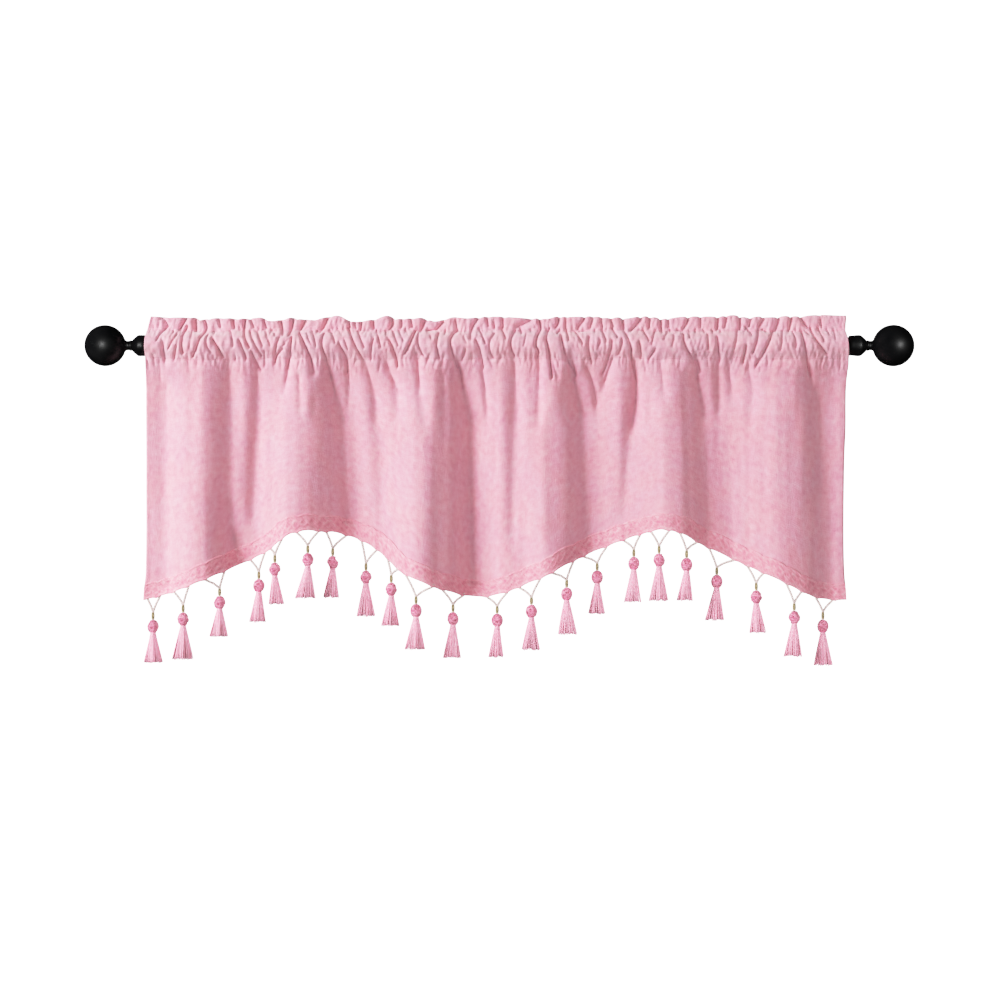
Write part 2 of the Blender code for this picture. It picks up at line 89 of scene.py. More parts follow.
ROUND_AFTER = 0.05  # and are wholly so after this
MEETING_POWER = 3.0  # the higher, the less two creases add to each other where they meet
TUG = 0.0027  # how far each tassel's thread draws the hem down
TUG_REACH = 0.0048

BRAID_WIDTH = 0.0215
BRAID_CELLS = 1500
BRAID_ROWS = 30
BRAID_BASE = 0.0006
RIM_RELIEF = 0.0005
SCROLL_RELIEF = 0.00030
SCROLL_LENGTH = 0.022
SCROLL_SWING = 0.0044
SCROLL_HALF = 0.0017  # half the width of a scroll's cord
RIM_HALF = 0.0014

BEAD_ABOVE_KNOT = 0.0146  # from the knot's centre up to the bead's
FORK_ABOVE_KNOT = 0.0205
PLY_RADIUS = 0.00092
PLY_PITCH = 0.0044

STITCH_LENGTH = 0.0025
STITCH_PITCH = 0.0033
STITCH_RADIUS = 0.00024
STITCH_LIFT = 0.00022  # above the cloth's skin,
STITCH_DIP = -0.0002  # and where its ends go in

CHAMFER = 0.0006  # on the ends of the rod and of the finials' collars

# The cloth's side edges: height, and how far the left and the right one reach outwards there, in
# millimetres.
SIDE_EDGES = (
    (36, -5.5, 3), (33, -4.5, 3), (26, -2.5, 2.5), (19, -1, 2.5), (8, 0.5, 4), (-6, 1, 5.5),
    (-26, 1.5, 6.5), (-36, 1.8, 6), (-48, 2, 5.2), (-72, 2.4, 5), (-110, 2.5, 5), (-142, 2.5, 3.6),
    (-190, 2.7, 2.8), (-237, 2.8, 2.3), (-285, 3.3, 2.9), (-304, 3.8, 3.6), (-323, 6, 5.5),
    (-340, 7, 6.3),
)

# The heading's top edge: distance from the cloth's middle and height, in millimetres.
TOP_EDGE = (
    (-460, 37.6), (-440, 36.8), (-416, 36.7), (-408, 37.7), (-396, 35.2), (-372, 35.7), (-340, 35.2),
    (-315, 36.2), (-296, 31.7), (-284, 35.2), (-267, 36.2), (-258, 34.2), (-251, 35.7), (-243, 33.2),
    (-231, 36.2), (-220, 39), (-210, 38.2), (-200, 33.7), (-178, 31.7), (-162, 35.2), (-145, 38.7),
    (-130, 35.2), (-112, 35.7), (-92, 35.2), (-82, 31.2), (-72, 33.7), (-55, 37.2), (-40, 35.2),
    (-26, 37.2), (-4, 37.7), (30, 36.2), (58, 35.7), (68, 34.7), (80, 38.2), (96, 37.2), (128, 38.2),
    (150, 35.7), (166, 37.2), (176, 35.7), (190, 38.7), (205, 37.7), (222, 35.2), (250, 37.7),
    (290, 37.7), (320, 39.2), (334, 36.2), (352, 38.2), (362, 36.7), (372, 37.7), (388, 38.7),
    (402, 38.2), (430, 39.7), (456, 38.7),
)

# Each crease runs from its upper end to its lower one; width is how soft it is, and bow is how far
# its middle is bowed sideways. First the creases of the heading and the rod pocket, then those of
# the hanging cloth.
Crease = namedtuple("Crease", "x_top z_top x_low z_low depth width bow", defaults=(0,))
GATHERS = [Crease(*crease) for crease in (
    (-439, 36, -431, 26, 2, 3, 1), (-431, 25, -444, 6, 3, 2.5, -1), (-424, 19, -423, 14, 2, 2),
    (-436, 2, -435, -22, 3.5, 5), (-418, 14, -429, -6, 2.2, 2), (-418, -2, -422, -19, 2.8, 2.5),
    (-407, 36, -415, 22, 4.5, 3), (-406, 25, -410, -10, 4.5, 2.8, -3), (-395, 33, -394, 19, 6, 3.2),
    (-399, 19, -399, 9, 1.6, 2), (-383, 34, -386, 9, 3.2, 2.8, 4), (-387, 10, -397, -14, 4.5, 2.5, 1),
    (-377, 13, -373, -9, 2.6, 2.2, -4), (-371, 7, -358, -15, 5.5, 3.2, 1), (-371, 19, -369, 15, 2, 2),
    (-358, 18, -356, 14, 1.5, 2), (-349, 19, -344, -2, 2.8, 2.4, 1), (-345, 34, -344, 22, 3.5, 3),
    (-329, 34, -323, -3, 4.5, 2.8, -4), (-336, 5, -328, -17, 4, 3, 1),
    (-323, 18, -307, -14, 3.2, 2.2, -1), (-320, -9, -309, -32, 4, 3, -1), (-313, 18, -305, -2, 2.6, 2.2),
    (-342, -14, -341, -20, 2, 2.5), (-303, 20, -295, -2, 2, 2.5), (-303, -9, -303, -27, 2.5, 3),
    (-294, 19, -289, 12, 2.8, 2.2), (-283, 35, -279, 13, 4.5, 3.4), (-283, 10, -289, -14, 3.2, 2.5, -1),
    (-279, -6, -290, -24, 4.5, 2.5, -2), (-272, 6, -283, -8, 1.6, 2), (-266, 35, -271, 12, 5.5, 2.6, 1),
    (-267, 9, -274, -31, 4.5, 2.6, 1), (-250, 33, -256, 20, 6, 3.2), (-248, 15, -241, 0, 1.6, 1.8),
    (-257, 14, -241, -26, 6, 3, 2), (-241, 18, -235, -2, 2.6, 2, 1), (-234, 19, -230, 17, 3.5, 2.2),
    (-220, 36, -228, 20, 3.5, 3.2), (-225, 15, -222, -15, 4, 2.6, -4), (-218, 20, -210, 3, 2.8, 2.4, 1),
    (-208, 22, -201, 13, 1.6, 2.2), (-205, 1, -196, -35, 4, 3, 4), (-198, 7, -193, -6, 1.5, 2),
    (-193, 23, -173, -19, 4.2, 2.4, -2), (-181, 19, -172, -3, 2.8, 2.2), (-176, 30, -177, 20, 3, 2.5),
    (-161, 34, -160, 22, 4.2, 3.6), (-160, 7, -163, -19, 3.4, 2.6, -1), (-156, 20, -150, -3, 2.6, 2.2),
    (-136, 35, -138, 22, 6, 3.2, 2), (-144, 19, -143, 13, 2.4, 2.2), (-135, 19, -127, -1, 2.6, 2.2),
    (-127, 19, -120, 5, 2.4, 2), (-139, 6, -128, -28, 4, 2.8, 2), (-118, 19, -114, 13, 1.8, 2),
    (-105, 17, -118, -11, 5.5, 2.6, 1), (-92, 34, -98, 17, 6, 3.4), (-101, 13, -94, -14, 4, 2.6, -3),
    (-89, 19, -76, 20, 4.5, 2.6), (-68, 31, -77, 21, 5, 2.8), (-87, 17, -83, 7, 1.8, 2.2),
    (-65, 20, -66, 14, 2.8, 2.2), (-74, 15, -73, -17, 4, 2.6, -3), (-49, 20, -57, -6, 5, 2.8, -5),
    (-57, -6, -50, -30, 6, 3.6), (-52, 32, -50, 22, 2.8, 3), (-23, 34, -32, 8, 4.2, 3, -3),
    (-41, 11, -37, 3, 1.4, 2.2), (-39, -6, -43, -17, 3.2, 2.6), (-21, 22, -13, 2, 2.8, 2.4),
    (-25, 6, -15, -30, 4, 2.8, 2), (0, 15, -1, -17, 2.6, 2.4, -7), (9, 22, 14, 8, 4, 2.6),
    (-2, 31, 0, 22, 1.6, 2.6), (27, 18, 26, -15, 4.2, 2.8, -6), (47, 33, 29, 24, 4, 4.5),
    (33, 23, 35, 15, 4.5, 2.6), (47, 20, 48, 17, 2, 2.2), (41, 13, 38, -1, 1.8, 2.6),
    (58, 33, 60, 19, 5, 2.8, 1), (60, 19, 54, -3, 5.5, 2.6, -2), (54, -3, 55, -17, 5.5, 2.6, 3),
    (72, 22, 68, 8, 3.8, 2.4, -1), (67, 9, 75, -43, 5.5, 2.6, 1), (84, 34, 80, 24, 4.2, 3.2, 1),
    (85, 20, 82, 15, 4, 2.4), (94, 22, 97, 6, 3.4, 2.4), (87, 13, 107, -39, 5.5, 3.4, -4),
    (105, 20, 115, 2, 2.8, 2.4), (111, 19, 121, 19, 2.2, 2), (132, 20, 132, 17, 2.2, 2.2),
    (128, 34, 126, 24, 3, 3), (117, 34, 109, 22, 3.4, 3), (124, 10, 128, -22, 3.4, 2.8, -3),
    (138, 6, 136, -2, 2.2, 2.2, 1), (141, 20, 146, 5, 3.6, 2.4), (154, 22, 161, 10, 4, 2.6),
    (154, 5, 142, -38, 3.4, 3.2, 2), (167, 7, 162, -15, 3, 2.6, 1), (168, 35, 170, 20, 5.5, 3.4),
    (170, 18, 179, -6, 4.5, 2.6, 1), (179, -6, 186, -43, 5.5, 2.8, -2), (192, 35, 179, 18, 5, 3.2, 1),
    (195, 20, 202, 6, 3.2, 2.4), (204, 35, 203, 23, 4, 3), (189, 3, 192, -18, 4.2, 2.6, 1),
    (210, 17, 206, 1, 2.6, 2.4), (210, -6, 203, -17, 4.2, 2.4), (218, 34, 220, 17, 4.2, 3),
    (227, 17, 222, 7, 2.4, 2.2), (231, 20, 231, 17, 3.6, 2.4), (236, 13, 233, -1, 1.8, 2.6),
    (240, 20, 248, 18, 3.8, 2.4), (255, 35, 248, 22, 4.2, 2.8, 1), (248, 13, 266, -20, 5, 2.8, -6),
    (263, -11, 271, -33, 6, 3.6, 1), (255, 14, 257, 9, 2, 2.2), (264, 21, 264, 17, 2.6, 2.2),
    (274, 20, 276, 16, 2.6, 2.2), (286, 20, 287, 17, 2.8, 2.4), (297, 20, 297, 17, 3.4, 2.4),
    (280, 13, 280, -6, 3, 2.2), (292, 10, 297, -20, 4.6, 3, -1), (294, 34, 293, 21, 4.4, 2.8),
    (305, 34, 303, 24, 3.2, 2.8), (320, 19, 311, -19, 2.4, 2.8), (323, 35, 323, 19, 4.2, 2.8),
    (330, -2, 327, -24, 5.5, 2.6), (331, 23, 338, 13, 4, 2.4), (347, 19, 339, -11, 3.6, 2.6, 1),
    (354, 34, 348, 24, 4, 3), (352, 21, 359, 18, 4.5, 2.6), (366, 18, 344, -27, 5.5, 2.8, 1),
    (374, 35, 370, 18, 4.4, 3.2), (379, 19, 375, -6, 2.6, 2.8), (391, 35, 387, 17, 4, 3),
    (392, 17, 395, -3, 2.6, 2.6, 1), (403, 36, 412, 24, 3.4, 2.8), (404, 17, 415, -39, 5, 3, -1),
    (408, 19, 414, 13, 2.8, 2.2), (416, 23, 436, -11, 4.4, 2.6, -4), (426, 23, 432, 5, 2.8, 2.4),
    (438, 19, 440, 14, 2.4, 2.2), (446, 20, 447, 7, 1.6, 2.6, 1), (-364, 35, -362, 24, 2.2, 2.6),
    (-322, 34, -318, 24, 2.4, 2.4), (-305, 33, -301, 22, 3, 2.4), (-193, 33, -191, 24, 3, 2.4),
    (-185, 32, -183, 22, 2.4, 2.2), (-123, 34, -123, 24, 2.4, 2.4), (-111, 34, -109, 24, 2.6, 2.8),
    (-11, 35, -9, 26, 2.4, 2.8), (10, 34, 11, 22, 2.6, 2.6), (93, 33, 93, 24, 2.6, 2.4),
    (140, 33, 142, 23, 2.8, 2.4), (153, 33, 156, 24, 2.8, 2.4), (228, 34, 229, 24, 2.6, 2.4),
    (271, 35, 271, 24, 2.8, 2.6), (337, 34, 335, 24, 2.6, 2.4), (429, 34, 431, 24, 2.2, 2.4),
)]
DROPS = [Crease(*crease) for crease in (
    (-441, -18, -442, -66, 2.6, 4), (-436, -60, -435, -315, 4.6, 9), (-404, -15, -403, -27, 2, 3),
    (-351, -22, -354, -235, 4.4, 8, 1), (-352, -210, -342, -262, 7, 9),
    (-348, -255, -328, -310, 12, 8.5), (-313, -20, -322, -225, 4.5, 6), (-268, -12, -278, -58, 5.5, 4),
    (-258, -40, -256, -90, 3.5, 4), (-242, -18, -239, -36, 7, 3.6), (-222, -19, -217, -45, 8, 4),
    (-217, -45, -203, -98, 7.2, 6, 1), (-203, -98, -197, -240, 6.5, 7.5),
    (-211, -110, -209, -230, 1.5, 4.5), (-195, -12, -196, -80, 4, 2.8, 2),
    (-172, -19, -157, -98, 5, 5, 3), (-154, -100, -149, -210, 1.8, 7), (-143, -24, -127, -62, 6.5, 4.2),
    (-129, -52, -127, -90, 3, 5), (-103, -12, -99, -56, 7, 4.5), (-99, -56, -92, -105, 3.5, 5),
    (-68, -40, -67, -115, 2.8, 5), (-252, -110, -252, -240, 5, 13), (-76, -115, -76, -300, 3.6, 12),
    (-50, -18, -45, -50, 9, 4.5, 1), (-45, -50, -32, -100, 8, 7, 1), (-32, -100, -31, -315, 9, 10, -2),
    (-21, -8, -10, -98, 4.5, 3.2, 2), (26, -19, 28, -98, 5, 5.5), (28, -98, 23, -250, 3, 6),
    (58, -18, 59, -98, 6, 4.8), (72, -8, 82, -42, 4, 3), (99, -12, 103, -45, 8.5, 4.5, 2),
    (103, -45, 113, -90, 7.5, 7, 1), (113, -90, 126, -270, 7, 10), (121, -28, 135, -80, 6, 3.4, 3),
    (155, -19, 142, -56, 6, 4), (184, -22, 181, -108, 8.5, 4.5, 4), (181, -108, 168, -230, 3.5, 7),
    (205, -60, 204, -100, 1.5, 4), (219, -22, 223, -64, 4, 4.5), (263, -19, 267, -45, 8.5, 4.2, 1),
    (267, -45, 276, -90, 7.5, 6, 1), (276, -90, 285, -245, 4.9, 10.5), (294, -20, 297, -85, 4, 4.5),
    (308, -24, 315, -64, 4, 4), (333, -23, 343, -62, 3.5, 3.8), (342, -60, 338, -100, 2, 4),
    (411, -19, 416, -45, 6.5, 4, 1), (416, -45, 429, -80, 5, 5.5, 1), (429, -80, 436, -200, 3.8, 9.5),
    (436, -200, 440, -320, 1, 9), (-238, -70, -240, -240, 2.2, 4.5), (91, -60, 91, -120, 2, 4.5),
    (76, -100, 78, -250, 4.5, 12), (252, -60, 256, -245, 1.4, 4.5), (234, -100, 236, -245, 1.8, 11),
    (395, -90, 396, -320, 2.2, 8),
)]


# ---- Helpers ----


def mix(a, b, share):
    return a + (b - a) * share


def ease(share):
    share = np.clip(share, 0.0, 1.0)
    return share * share * (3 - 2 * share)


def soften(values, spacing, radius):
    """Gaussian smoothing along the last axis."""
    reach = max(1, int(math.ceil(3 * radius / spacing)))
    steps = np.arange(-reach, reach + 1) * spacing
    weights = np.exp(-0.5 * (steps / radius) ** 2)
    weights /= weights.sum()
    padded = np.pad(values, [(0, 0)] * (values.ndim - 1) + [(reach, reach)], mode="edge")
    return np.apply_along_axis(lambda row: np.convolve(row, weights, "valid"), -1, padded)


def columns_of(table):
    """A table's columns in metres."""
    return np.array(table).T * MM


def smooth_at(xs, ys, x):
    """A smooth curve through the points (xs, ys), read at x."""
    slopes = np.gradient(ys, xs)
    x = np.clip(x, xs[0], xs[-1])
    k = np.clip(np.searchsorted(xs, x) - 1, 0, len(xs) - 2)
    gap = xs[k + 1] - xs[k]
    t = (x - xs[k]) / gap
    rise = t * t * (3 - 2 * t)
    bend = t * (1 - t) * gap * (slopes[k] * (1 - t) - slopes[k + 1] * t)
    return mix(ys[k], ys[k + 1], rise) + bend


def new_object(mesh, *looks):
    """An object of the mesh's name, with its materials."""
    for look in looks:
        mesh.materials.append(look)
    made = bpy.data.objects.new(mesh.name, mesh)
    bpy.context.scene.collection.objects.link(made)
    return made


def dress(piece, slot, *nodes):
    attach(piece, "root")
    if nodes:
        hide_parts(*nodes)
    return piece


class Soup:
    """Collects vertices, faces, their UVs and material numbers for one mesh."""

    def __init__(self):
        self.points, self.faces, self.uvs, self.looks = [], [], [], []

    def grid(self, points, uvs, look=0, closed=False):
        """Quads over rows of points; closed joins each row's end to its start."""
        columns, start = len(points[0]), len(self.points)
        for row in points:
            self.points.extend(row)
        for r in range(len(points) - 1):
            for c in range(columns if closed else columns - 1):
                a, b = (start + r * columns + k for k in (c, (c + 1) % columns))
                self.faces.append((a, b, b + columns, a + columns))
                self.uvs.extend((uvs[r][c], uvs[r][c + 1], uvs[r + 1][c + 1], uvs[r + 1][c]))
                self.looks.append(look)
        return start

    def cap(self, ring, look, uv):
        self.faces.append(tuple(ring))
        self.uvs.extend([uv] * len(ring))
        self.looks.append(look)

    def mesh(self, name):
        made = bpy.data.meshes.new(name)
        made.from_pydata([tuple(p) for p in self.points], [], self.faces)
        made.uv_layers.new(name="weave").data.foreach_set("uv", np.array(self.uvs, float).ravel())
        made.polygons.foreach_set("material_index", self.looks)
        made.shade_smooth()
        made.update()
        return made


def circle(sides):
    """The cosine and sine of each corner of a ring."""
    return [(math.cos(a), math.sin(a)) for a in (2 * math.pi * s / sides for s in range(sides))]


def frames_along(path):
    """Points of a path, each after its distance along and before two unit vectors across."""
    path = [Vector(p) for p in path]
    tangents = [(b - a).normalized() for a, b in zip([path[0], *path], [*path[1:], path[-1]])]
    side, gone, out = tangents[0].orthogonal().normalized(), 0.0, []
    for last, point, along in zip([path[0], *path], path, tangents):
        gone += (point - last).length
        side = (side - along * side.dot(along)).normalized()
        out.append((gone, point, side, along.cross(side)))
    return out


def add_tube(soup, path, radius, sides, look=0, tag=0.0):
    """A tube round a path. Its UVs are metres along, and turns around plus a tag."""
    points, uvs = [], []
    for gone, centre, side, across in frames_along(path):
        points.append([centre + (side * c + across * s) * radius for c, s in circle(sides)])
        uvs.append([(gone, tag + 0.98 * s / sides) for s in range(sides + 1)])
    start = soup.grid(points, uvs, look, closed=True)
    last = start + (len(points) - 1) * sides
    soup.cap(range(start + sides - 1, start - 1, -1), look, (0.0, tag))
    soup.cap(range(last, last + sides), look, (gone, tag))


def add_lathe(soup, profile, sides, turn=Matrix.Identity(3), look=0):
    """A closed turned solid from points along its axis and their radii."""
    rows, uvs, gone = [], [], 0.0
    for last, (along, radius) in zip([profile[0], *profile], profile):
        gone += math.dist(last, (along, radius))
        radius = max(radius, 1e-6)
        rows.append([turn @ Vector((radius * c, radius * s, along)) for c, s in circle(sides)])
        uvs.append([(s / sides, gone) for s in range(sides + 1)])
    soup.grid(rows, uvs, look, closed=True)


# ---- The cloth's shape ----

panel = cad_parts["panel"]
panel_points = np.array([panel.matrix_world @ v.co for v in panel.data.vertices])
hanging = panel_points[panel_points[:, 2] < -0.2]
CLOTH_LEFT, CLOTH_RIGHT = hanging[:, 0].min(), hanging[:, 0].max()
CLOTH_MIDDLE = (CLOTH_LEFT + CLOTH_RIGHT) / 2


TasselSize = namedtuple("TasselSize", "centre width end lean left right")


def tassel_size(number):
    """What the solid tassel says of itself: its knot's centre, skirt and thread ends."""
    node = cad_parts[f"tassel_{number:02d}"]
    low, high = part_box(f"bead_{number:02d}")
    centre = Vector(((low.x + high.x) / 2, (low.y + high.y) / 2, (low.z + high.z) / 2 - BEAD_ABOVE_KNOT))
    points = [node.matrix_world @ v.co for v in node.data.vertices]
    end = min(p.z for p in points)
    hem_of = [p for p in points if p.z < end + 0.004]
    lean = sum(p.x for p in hem_of) / len(hem_of) - centre.x
    width = max(p.y for p in hem_of) - min(p.y for p in hem_of)
    tips = []
    for side in (-1, 1):
        upper = [p for p in points
                 if p.z > centre.z + FORK_ABOVE_KNOT + 0.0005 and side * (p.x - centre.x) > 0]
        upper.sort(key=lambda p: -side * p.x)
        tips.append(sum(upper[:3], Vector()) / 3)
    return TasselSize(centre, width, end, lean, *tips)


TASSELS = range(1, 23)
TASSEL_SIZES = {number: tassel_size(number) for number in TASSELS}


def hem_line():
    """The hem's lowest points, one for each column of the solid, as sorted x and z."""
    lowest = {}
    for x, _, z in hanging:
        key = round(float(x), 4)
        lowest[key] = min(z, lowest.get(key, 0.0))
    xs = np.array(sorted(lowest))
    return xs, np.array([lowest[x] for x in sorted(lowest)])


HEM_X, HEM_Z = hem_line()
FINE = np.linspace(CLOTH_LEFT, CLOTH_RIGHT, 921)
FINE_STEP = FINE[1] - FINE[0]
FINE_HEM = soften(np.interp(FINE, HEM_X, HEM_Z), FINE_STEP, HEM_SOFTNESS)
LEVELS = np.linspace(0.0, 1.0, 11)


def measured_folds():
    """How far the solid's middle stands out, at LEVELS between FOLDS_FULL and the hem."""
    tree = BVHTree.FromPolygons(
        [Vector(p) for p in panel_points], [tuple(f.vertices) for f in panel.data.polygons]
    )
    rows = []
    for level in LEVELS:
        row = []
        for x, hem in zip(np.clip(FINE, CLOTH_LEFT + INSIDE_EDGE, CLOTH_RIGHT - INSIDE_EDGE), FINE_HEM):
            z = mix(FOLDS_FULL, hem + ABOVE_HEM, level)
            near = tree.ray_cast(Vector((x, -1, z)), Vector((0, 1, 0)))[0]
            far = tree.ray_cast(Vector((x, 1, z)), Vector((0, -1, 0)))[0]
            row.append(-(near.y + far.y) / 2 if near and far else row[-1])
        rows.append(row)
    return soften(np.array(rows), FINE_STEP, FOLD_SOFTNESS)


FOLD_ROWS = measured_folds()


def tugged_hem():
    """The hem with a small cusp wherever a tassel's thread hangs from it."""
    hem = FINE_HEM.copy()
    for size in TASSEL_SIZES.values():
        for tip in (size.left, size.right):
            hem -= TUG * np.exp(-np.abs(FINE - tip.x) / TUG_REACH)
    return hem + TUG / 2


HANGING_HEM = tugged_hem()


def hem_at(x):
    return np.interp(x, FINE, HANGING_HEM)


def folds_at(x, z):
    """How far the hanging folds stand out at x and z."""
    hem = hem_at(x)
    level = np.clip((FOLDS_FULL - z) / (FOLDS_FULL - hem), 0, 1) * (len(LEVELS) - 1)
    column = np.clip((x - FINE[0]) / FINE_STEP, 0, len(FINE) - 1.001)
    r = np.minimum(level.astype(int), len(LEVELS) - 2)
    c = column.astype(int)
    down, along = level - r, column - c
    upper = mix(FOLD_ROWS[r, c], FOLD_ROWS[r, c + 1], along)
    lower = mix(FOLD_ROWS[r + 1, c], FOLD_ROWS[r + 1, c + 1], along)
    grown = np.interp(-z, (-UPPER_STITCH, -LOWER_STITCH, 0.032, -FOLDS_FULL), (0.0, 0.30, 0.68, 1.0))
    return mix(upper, lower, down) * grown * FOLD_SHARE


def crease_depth(x, z, creases, mirror=1, wide=1.0):
    """How deep the creases lie at each x and z, in metres; where they meet the deeper one wins."""
    total = np.zeros_like(x)
    for crease in creases:
        start = np.array((mirror * crease.x_top, crease.z_top)) * MM
        end = np.array((mirror * crease.x_low, crease.z_low)) * MM
        bend = (start + end) / 2 + np.array((2 * mirror * crease.bow * MM, 0))
        width = crease.width * MM * wide
        lo = min(start[0], end[0], bend[0]) - 6 * width + CLOTH_MIDDLE
        hi = max(start[0], end[0], bend[0]) + 6 * width + CLOTH_MIDDLE
        columns = np.where((x[0] > lo - 0.01) & (x[0] < hi + 0.01))[0]
        if not len(columns):
            continue
        part = slice(columns[0], columns[-1] + 1)
        px, pz = x[:, part] - CLOTH_MIDDLE, z[:, part]
        t = np.linspace(0, 1, 8)[:, None]
        line = start * (1 - t) ** 2 + 2 * bend * t * (1 - t) + end * t**2
        nearest = np.full(px.shape, 1e9)
        for a, b in zip(line, line[1:]):
            along = b - a
            share = ((px - a[0]) * along[0] + (pz - a[1]) * along[1]) / (along @ along)
            share = np.clip(share, 0, 1)
            gap = np.hypot(px - a[0] - share * along[0], pz - a[1] - share * along[1])
            nearest = np.minimum(nearest, gap)
        rounder = ease((SHARP_ABOVE - pz) / ROUND_AFTER)
        soft = width * (0.18 + 0.9 * rounder)
        fall = np.exp(-(np.sqrt(nearest**2 + soft**2) - soft) / width)
        total[:, part] += (crease.depth * MM * (1 + 0.25 * rounder) * fall) ** MEETING_POWER
    return total ** (1 / MEETING_POWER)


def edge_x(share, z):
    """x of the share of the way from the cloth's left edge to its right one at height z."""
    heights, left, right = columns_of(SIDE_EDGES)
    left_x = CLOTH_LEFT - smooth_at(-heights, left, -z)
    right_x = CLOTH_RIGHT + smooth_at(-heights, right, -z)
    return mix(left_x, right_x, share)


# How far the cloth stands out without its gathers and folds: drawn over the rod from the upper
# stitch, and from the lower one back into the hanging folds. Height and reach in millimetres.
OVER_ROD = ((-78, 0), (-60, 0.7), (-45, 2.3), (-30, 4.6), (-18, 6.9), (-13, 8.5), (-8, 10.7), (-3, 12.2),
            (0, 12.5), (5, 12.0), (10, 9.8), (15, 6.0), (19, 2.6), (40, 1.5))
# How far the cloth puffs out between its creases.
PUFFS = ((-60, 0), (-45, 1.2), (-34, 2.8), (-24, 4.6), (-18, 5.2), (-9, 7.8), (10, 8.0), (19, 4.8),
         (26, 6.0), (38, 6.5))


def profile_at(table, place):
    return smooth_at(*columns_of(table), place)


def sewn_down(x, z):
    """The groove that each stitch line pulls into the cloth, uneven along it."""
    pull = 0.0011 * ease(0.4 + 0.8 * np.sin(260 * x + 3 * np.sin(70 * x)))
    near = sum(np.exp(-np.abs(z - stitch) / 0.0013) for stitch in (UPPER_STITCH, LOWER_STITCH))
    return pull * near


def drift(x, z):
    """How far the stitch lines wander up and down along the rod."""
    wander = 0.0011 * np.sin(41 * x + 1.0) + 0.0009 * np.sin(97 * x + 2.6 * np.sin(23 * x))
    lower = np.exp(-(((z - LOWER_STITCH) / 0.014) ** 2))
    upper = np.exp(-(((z - UPPER_STITCH) / 0.007) ** 2))
    return wander * lower + 0.5 * wander * upper


def make_puckers():
    """Short creases that the stitch lines draw into the cloth between the larger ones."""
    rng = np.random.default_rng(11)
    made = []
    for stitch, above, below in ((UPPER_STITCH, 5.0, 6.0), (LOWER_STITCH, 7.0, 14.0)):
        x = CLOTH_LEFT / MM
        while x < CLOTH_RIGHT / MM - 6:
            x += rng.uniform(4, 10)
            top, low = stitch / MM + above * rng.uniform(0.3, 1), stitch / MM - below * rng.uniform(0.25, 1)
            made.append(Crease(x + rng.normal(0, 1.5), top, x + rng.normal(0, 3.0), low,
                               rng.uniform(0.6, 2.4), rng.uniform(1.3, 2.1)))
    return made


PUCKERS = make_puckers()


def ripples(x, z):
    """Faint upright waves of the hanging cloth, uneven along it."""
    rng = np.random.default_rng(4)
    total = np.zeros_like(x)
    for length in (0.011, 0.014, 0.0175, 0.021, 0.027, 0.034):
        phase, lag, swell = rng.uniform(0, 2 * math.pi, 3)
        along = 2 * math.pi * x / length + 2.2 * np.sin(9 * x + 5 * z + lag) + phase
        total += 0.0046 * length * np.sin(along) * (1 + 0.8 * np.sin(13 * x - 17 * z + swell))
    return total * ease((UPPER_STITCH - z) / 0.05)


def crumples(x, z):
    """Small slanting wrinkles of the gathered heading."""
    rng = np.random.default_rng(8)
    total = np.zeros_like(x)
    for length in (0.0055, 0.0065, 0.0075, 0.009, 0.011):
        slant, phase, swell = rng.uniform(-0.7, 0.7), *rng.uniform(0, 2 * math.pi, 2)
        along = 2 * math.pi * (x + slant * z) / length + 2.5 * np.sin(60 * z + 31 * x + swell) + phase
        total += np.sin(along) * np.maximum(np.sin(47 * x + 90 * z + swell), -0.2)
    return 0.00034 * total * ease((z - GATHERS_END) / 0.03)


def side_hem(x, z):
    """The doubled edge at each side of the hanging cloth."""
    gap = np.minimum(x - edge_x(0, z), edge_x(1, z) - x)
    return SIDE_HEM_STEP * (1 - ease((gap - SIDE_HEM + 0.001) / 0.003)) * (z < LOWER_STITCH)


def front_out(x, z):
    """How far the front layer's middle stands out, anywhere from the hem to the top edge."""
    depth = crease_depth(x, z, GATHERS, wide=GATHER_WIDTH)
    ridges = RIDGE_SHARE * (crease_depth(x, z, GATHERS, wide=RIDGE_WIDTH) - depth)
    drops = crease_depth(x, z, DROPS)
    puckers = crease_depth(x, z, PUCKERS)
    gain = np.interp(z, (UPPER_STITCH, RUFFLE_TOP), (POCKET_GAIN, RUFFLE_GAIN))
    deepest = DEEPEST_GATHER * np.interp(z, (0.0, UPPER_STITCH), (1.4, 1.0))
    depth = deepest * np.tanh(depth * gain / deepest)
    raised = profile_at(PUFFS, z) - np.hypot(np.hypot(depth, drops), puckers)
    raised += ridges * ease((z - GATHERS_END) / 0.02)
    held = np.maximum(np.where(raised > 0, raised, GIVE * raised), ON_ROD)
    within = np.minimum(z - LOWER_STITCH, UPPER_STITCH - z)
    raised = mix(raised, held, ease((within + 0.002) / 0.004))
    raised += crumples(x, z) - sewn_down(x, z)
    return profile_at(OVER_ROD, z) + raised + folds_at(x, z) + ripples(x, z) + side_hem(x, z)


def top_z(x):
    """The top edge, drawn down a little wherever a crease runs into it."""
    edge = profile_at(TOP_EDGE, x - CLOTH_MIDDLE)
    just_below = np.full((1, len(x)), 0.034)
    return edge - TOP_DIP * RUFFLE_GAIN * crease_depth(x[None, :], just_below, GATHERS)[0]


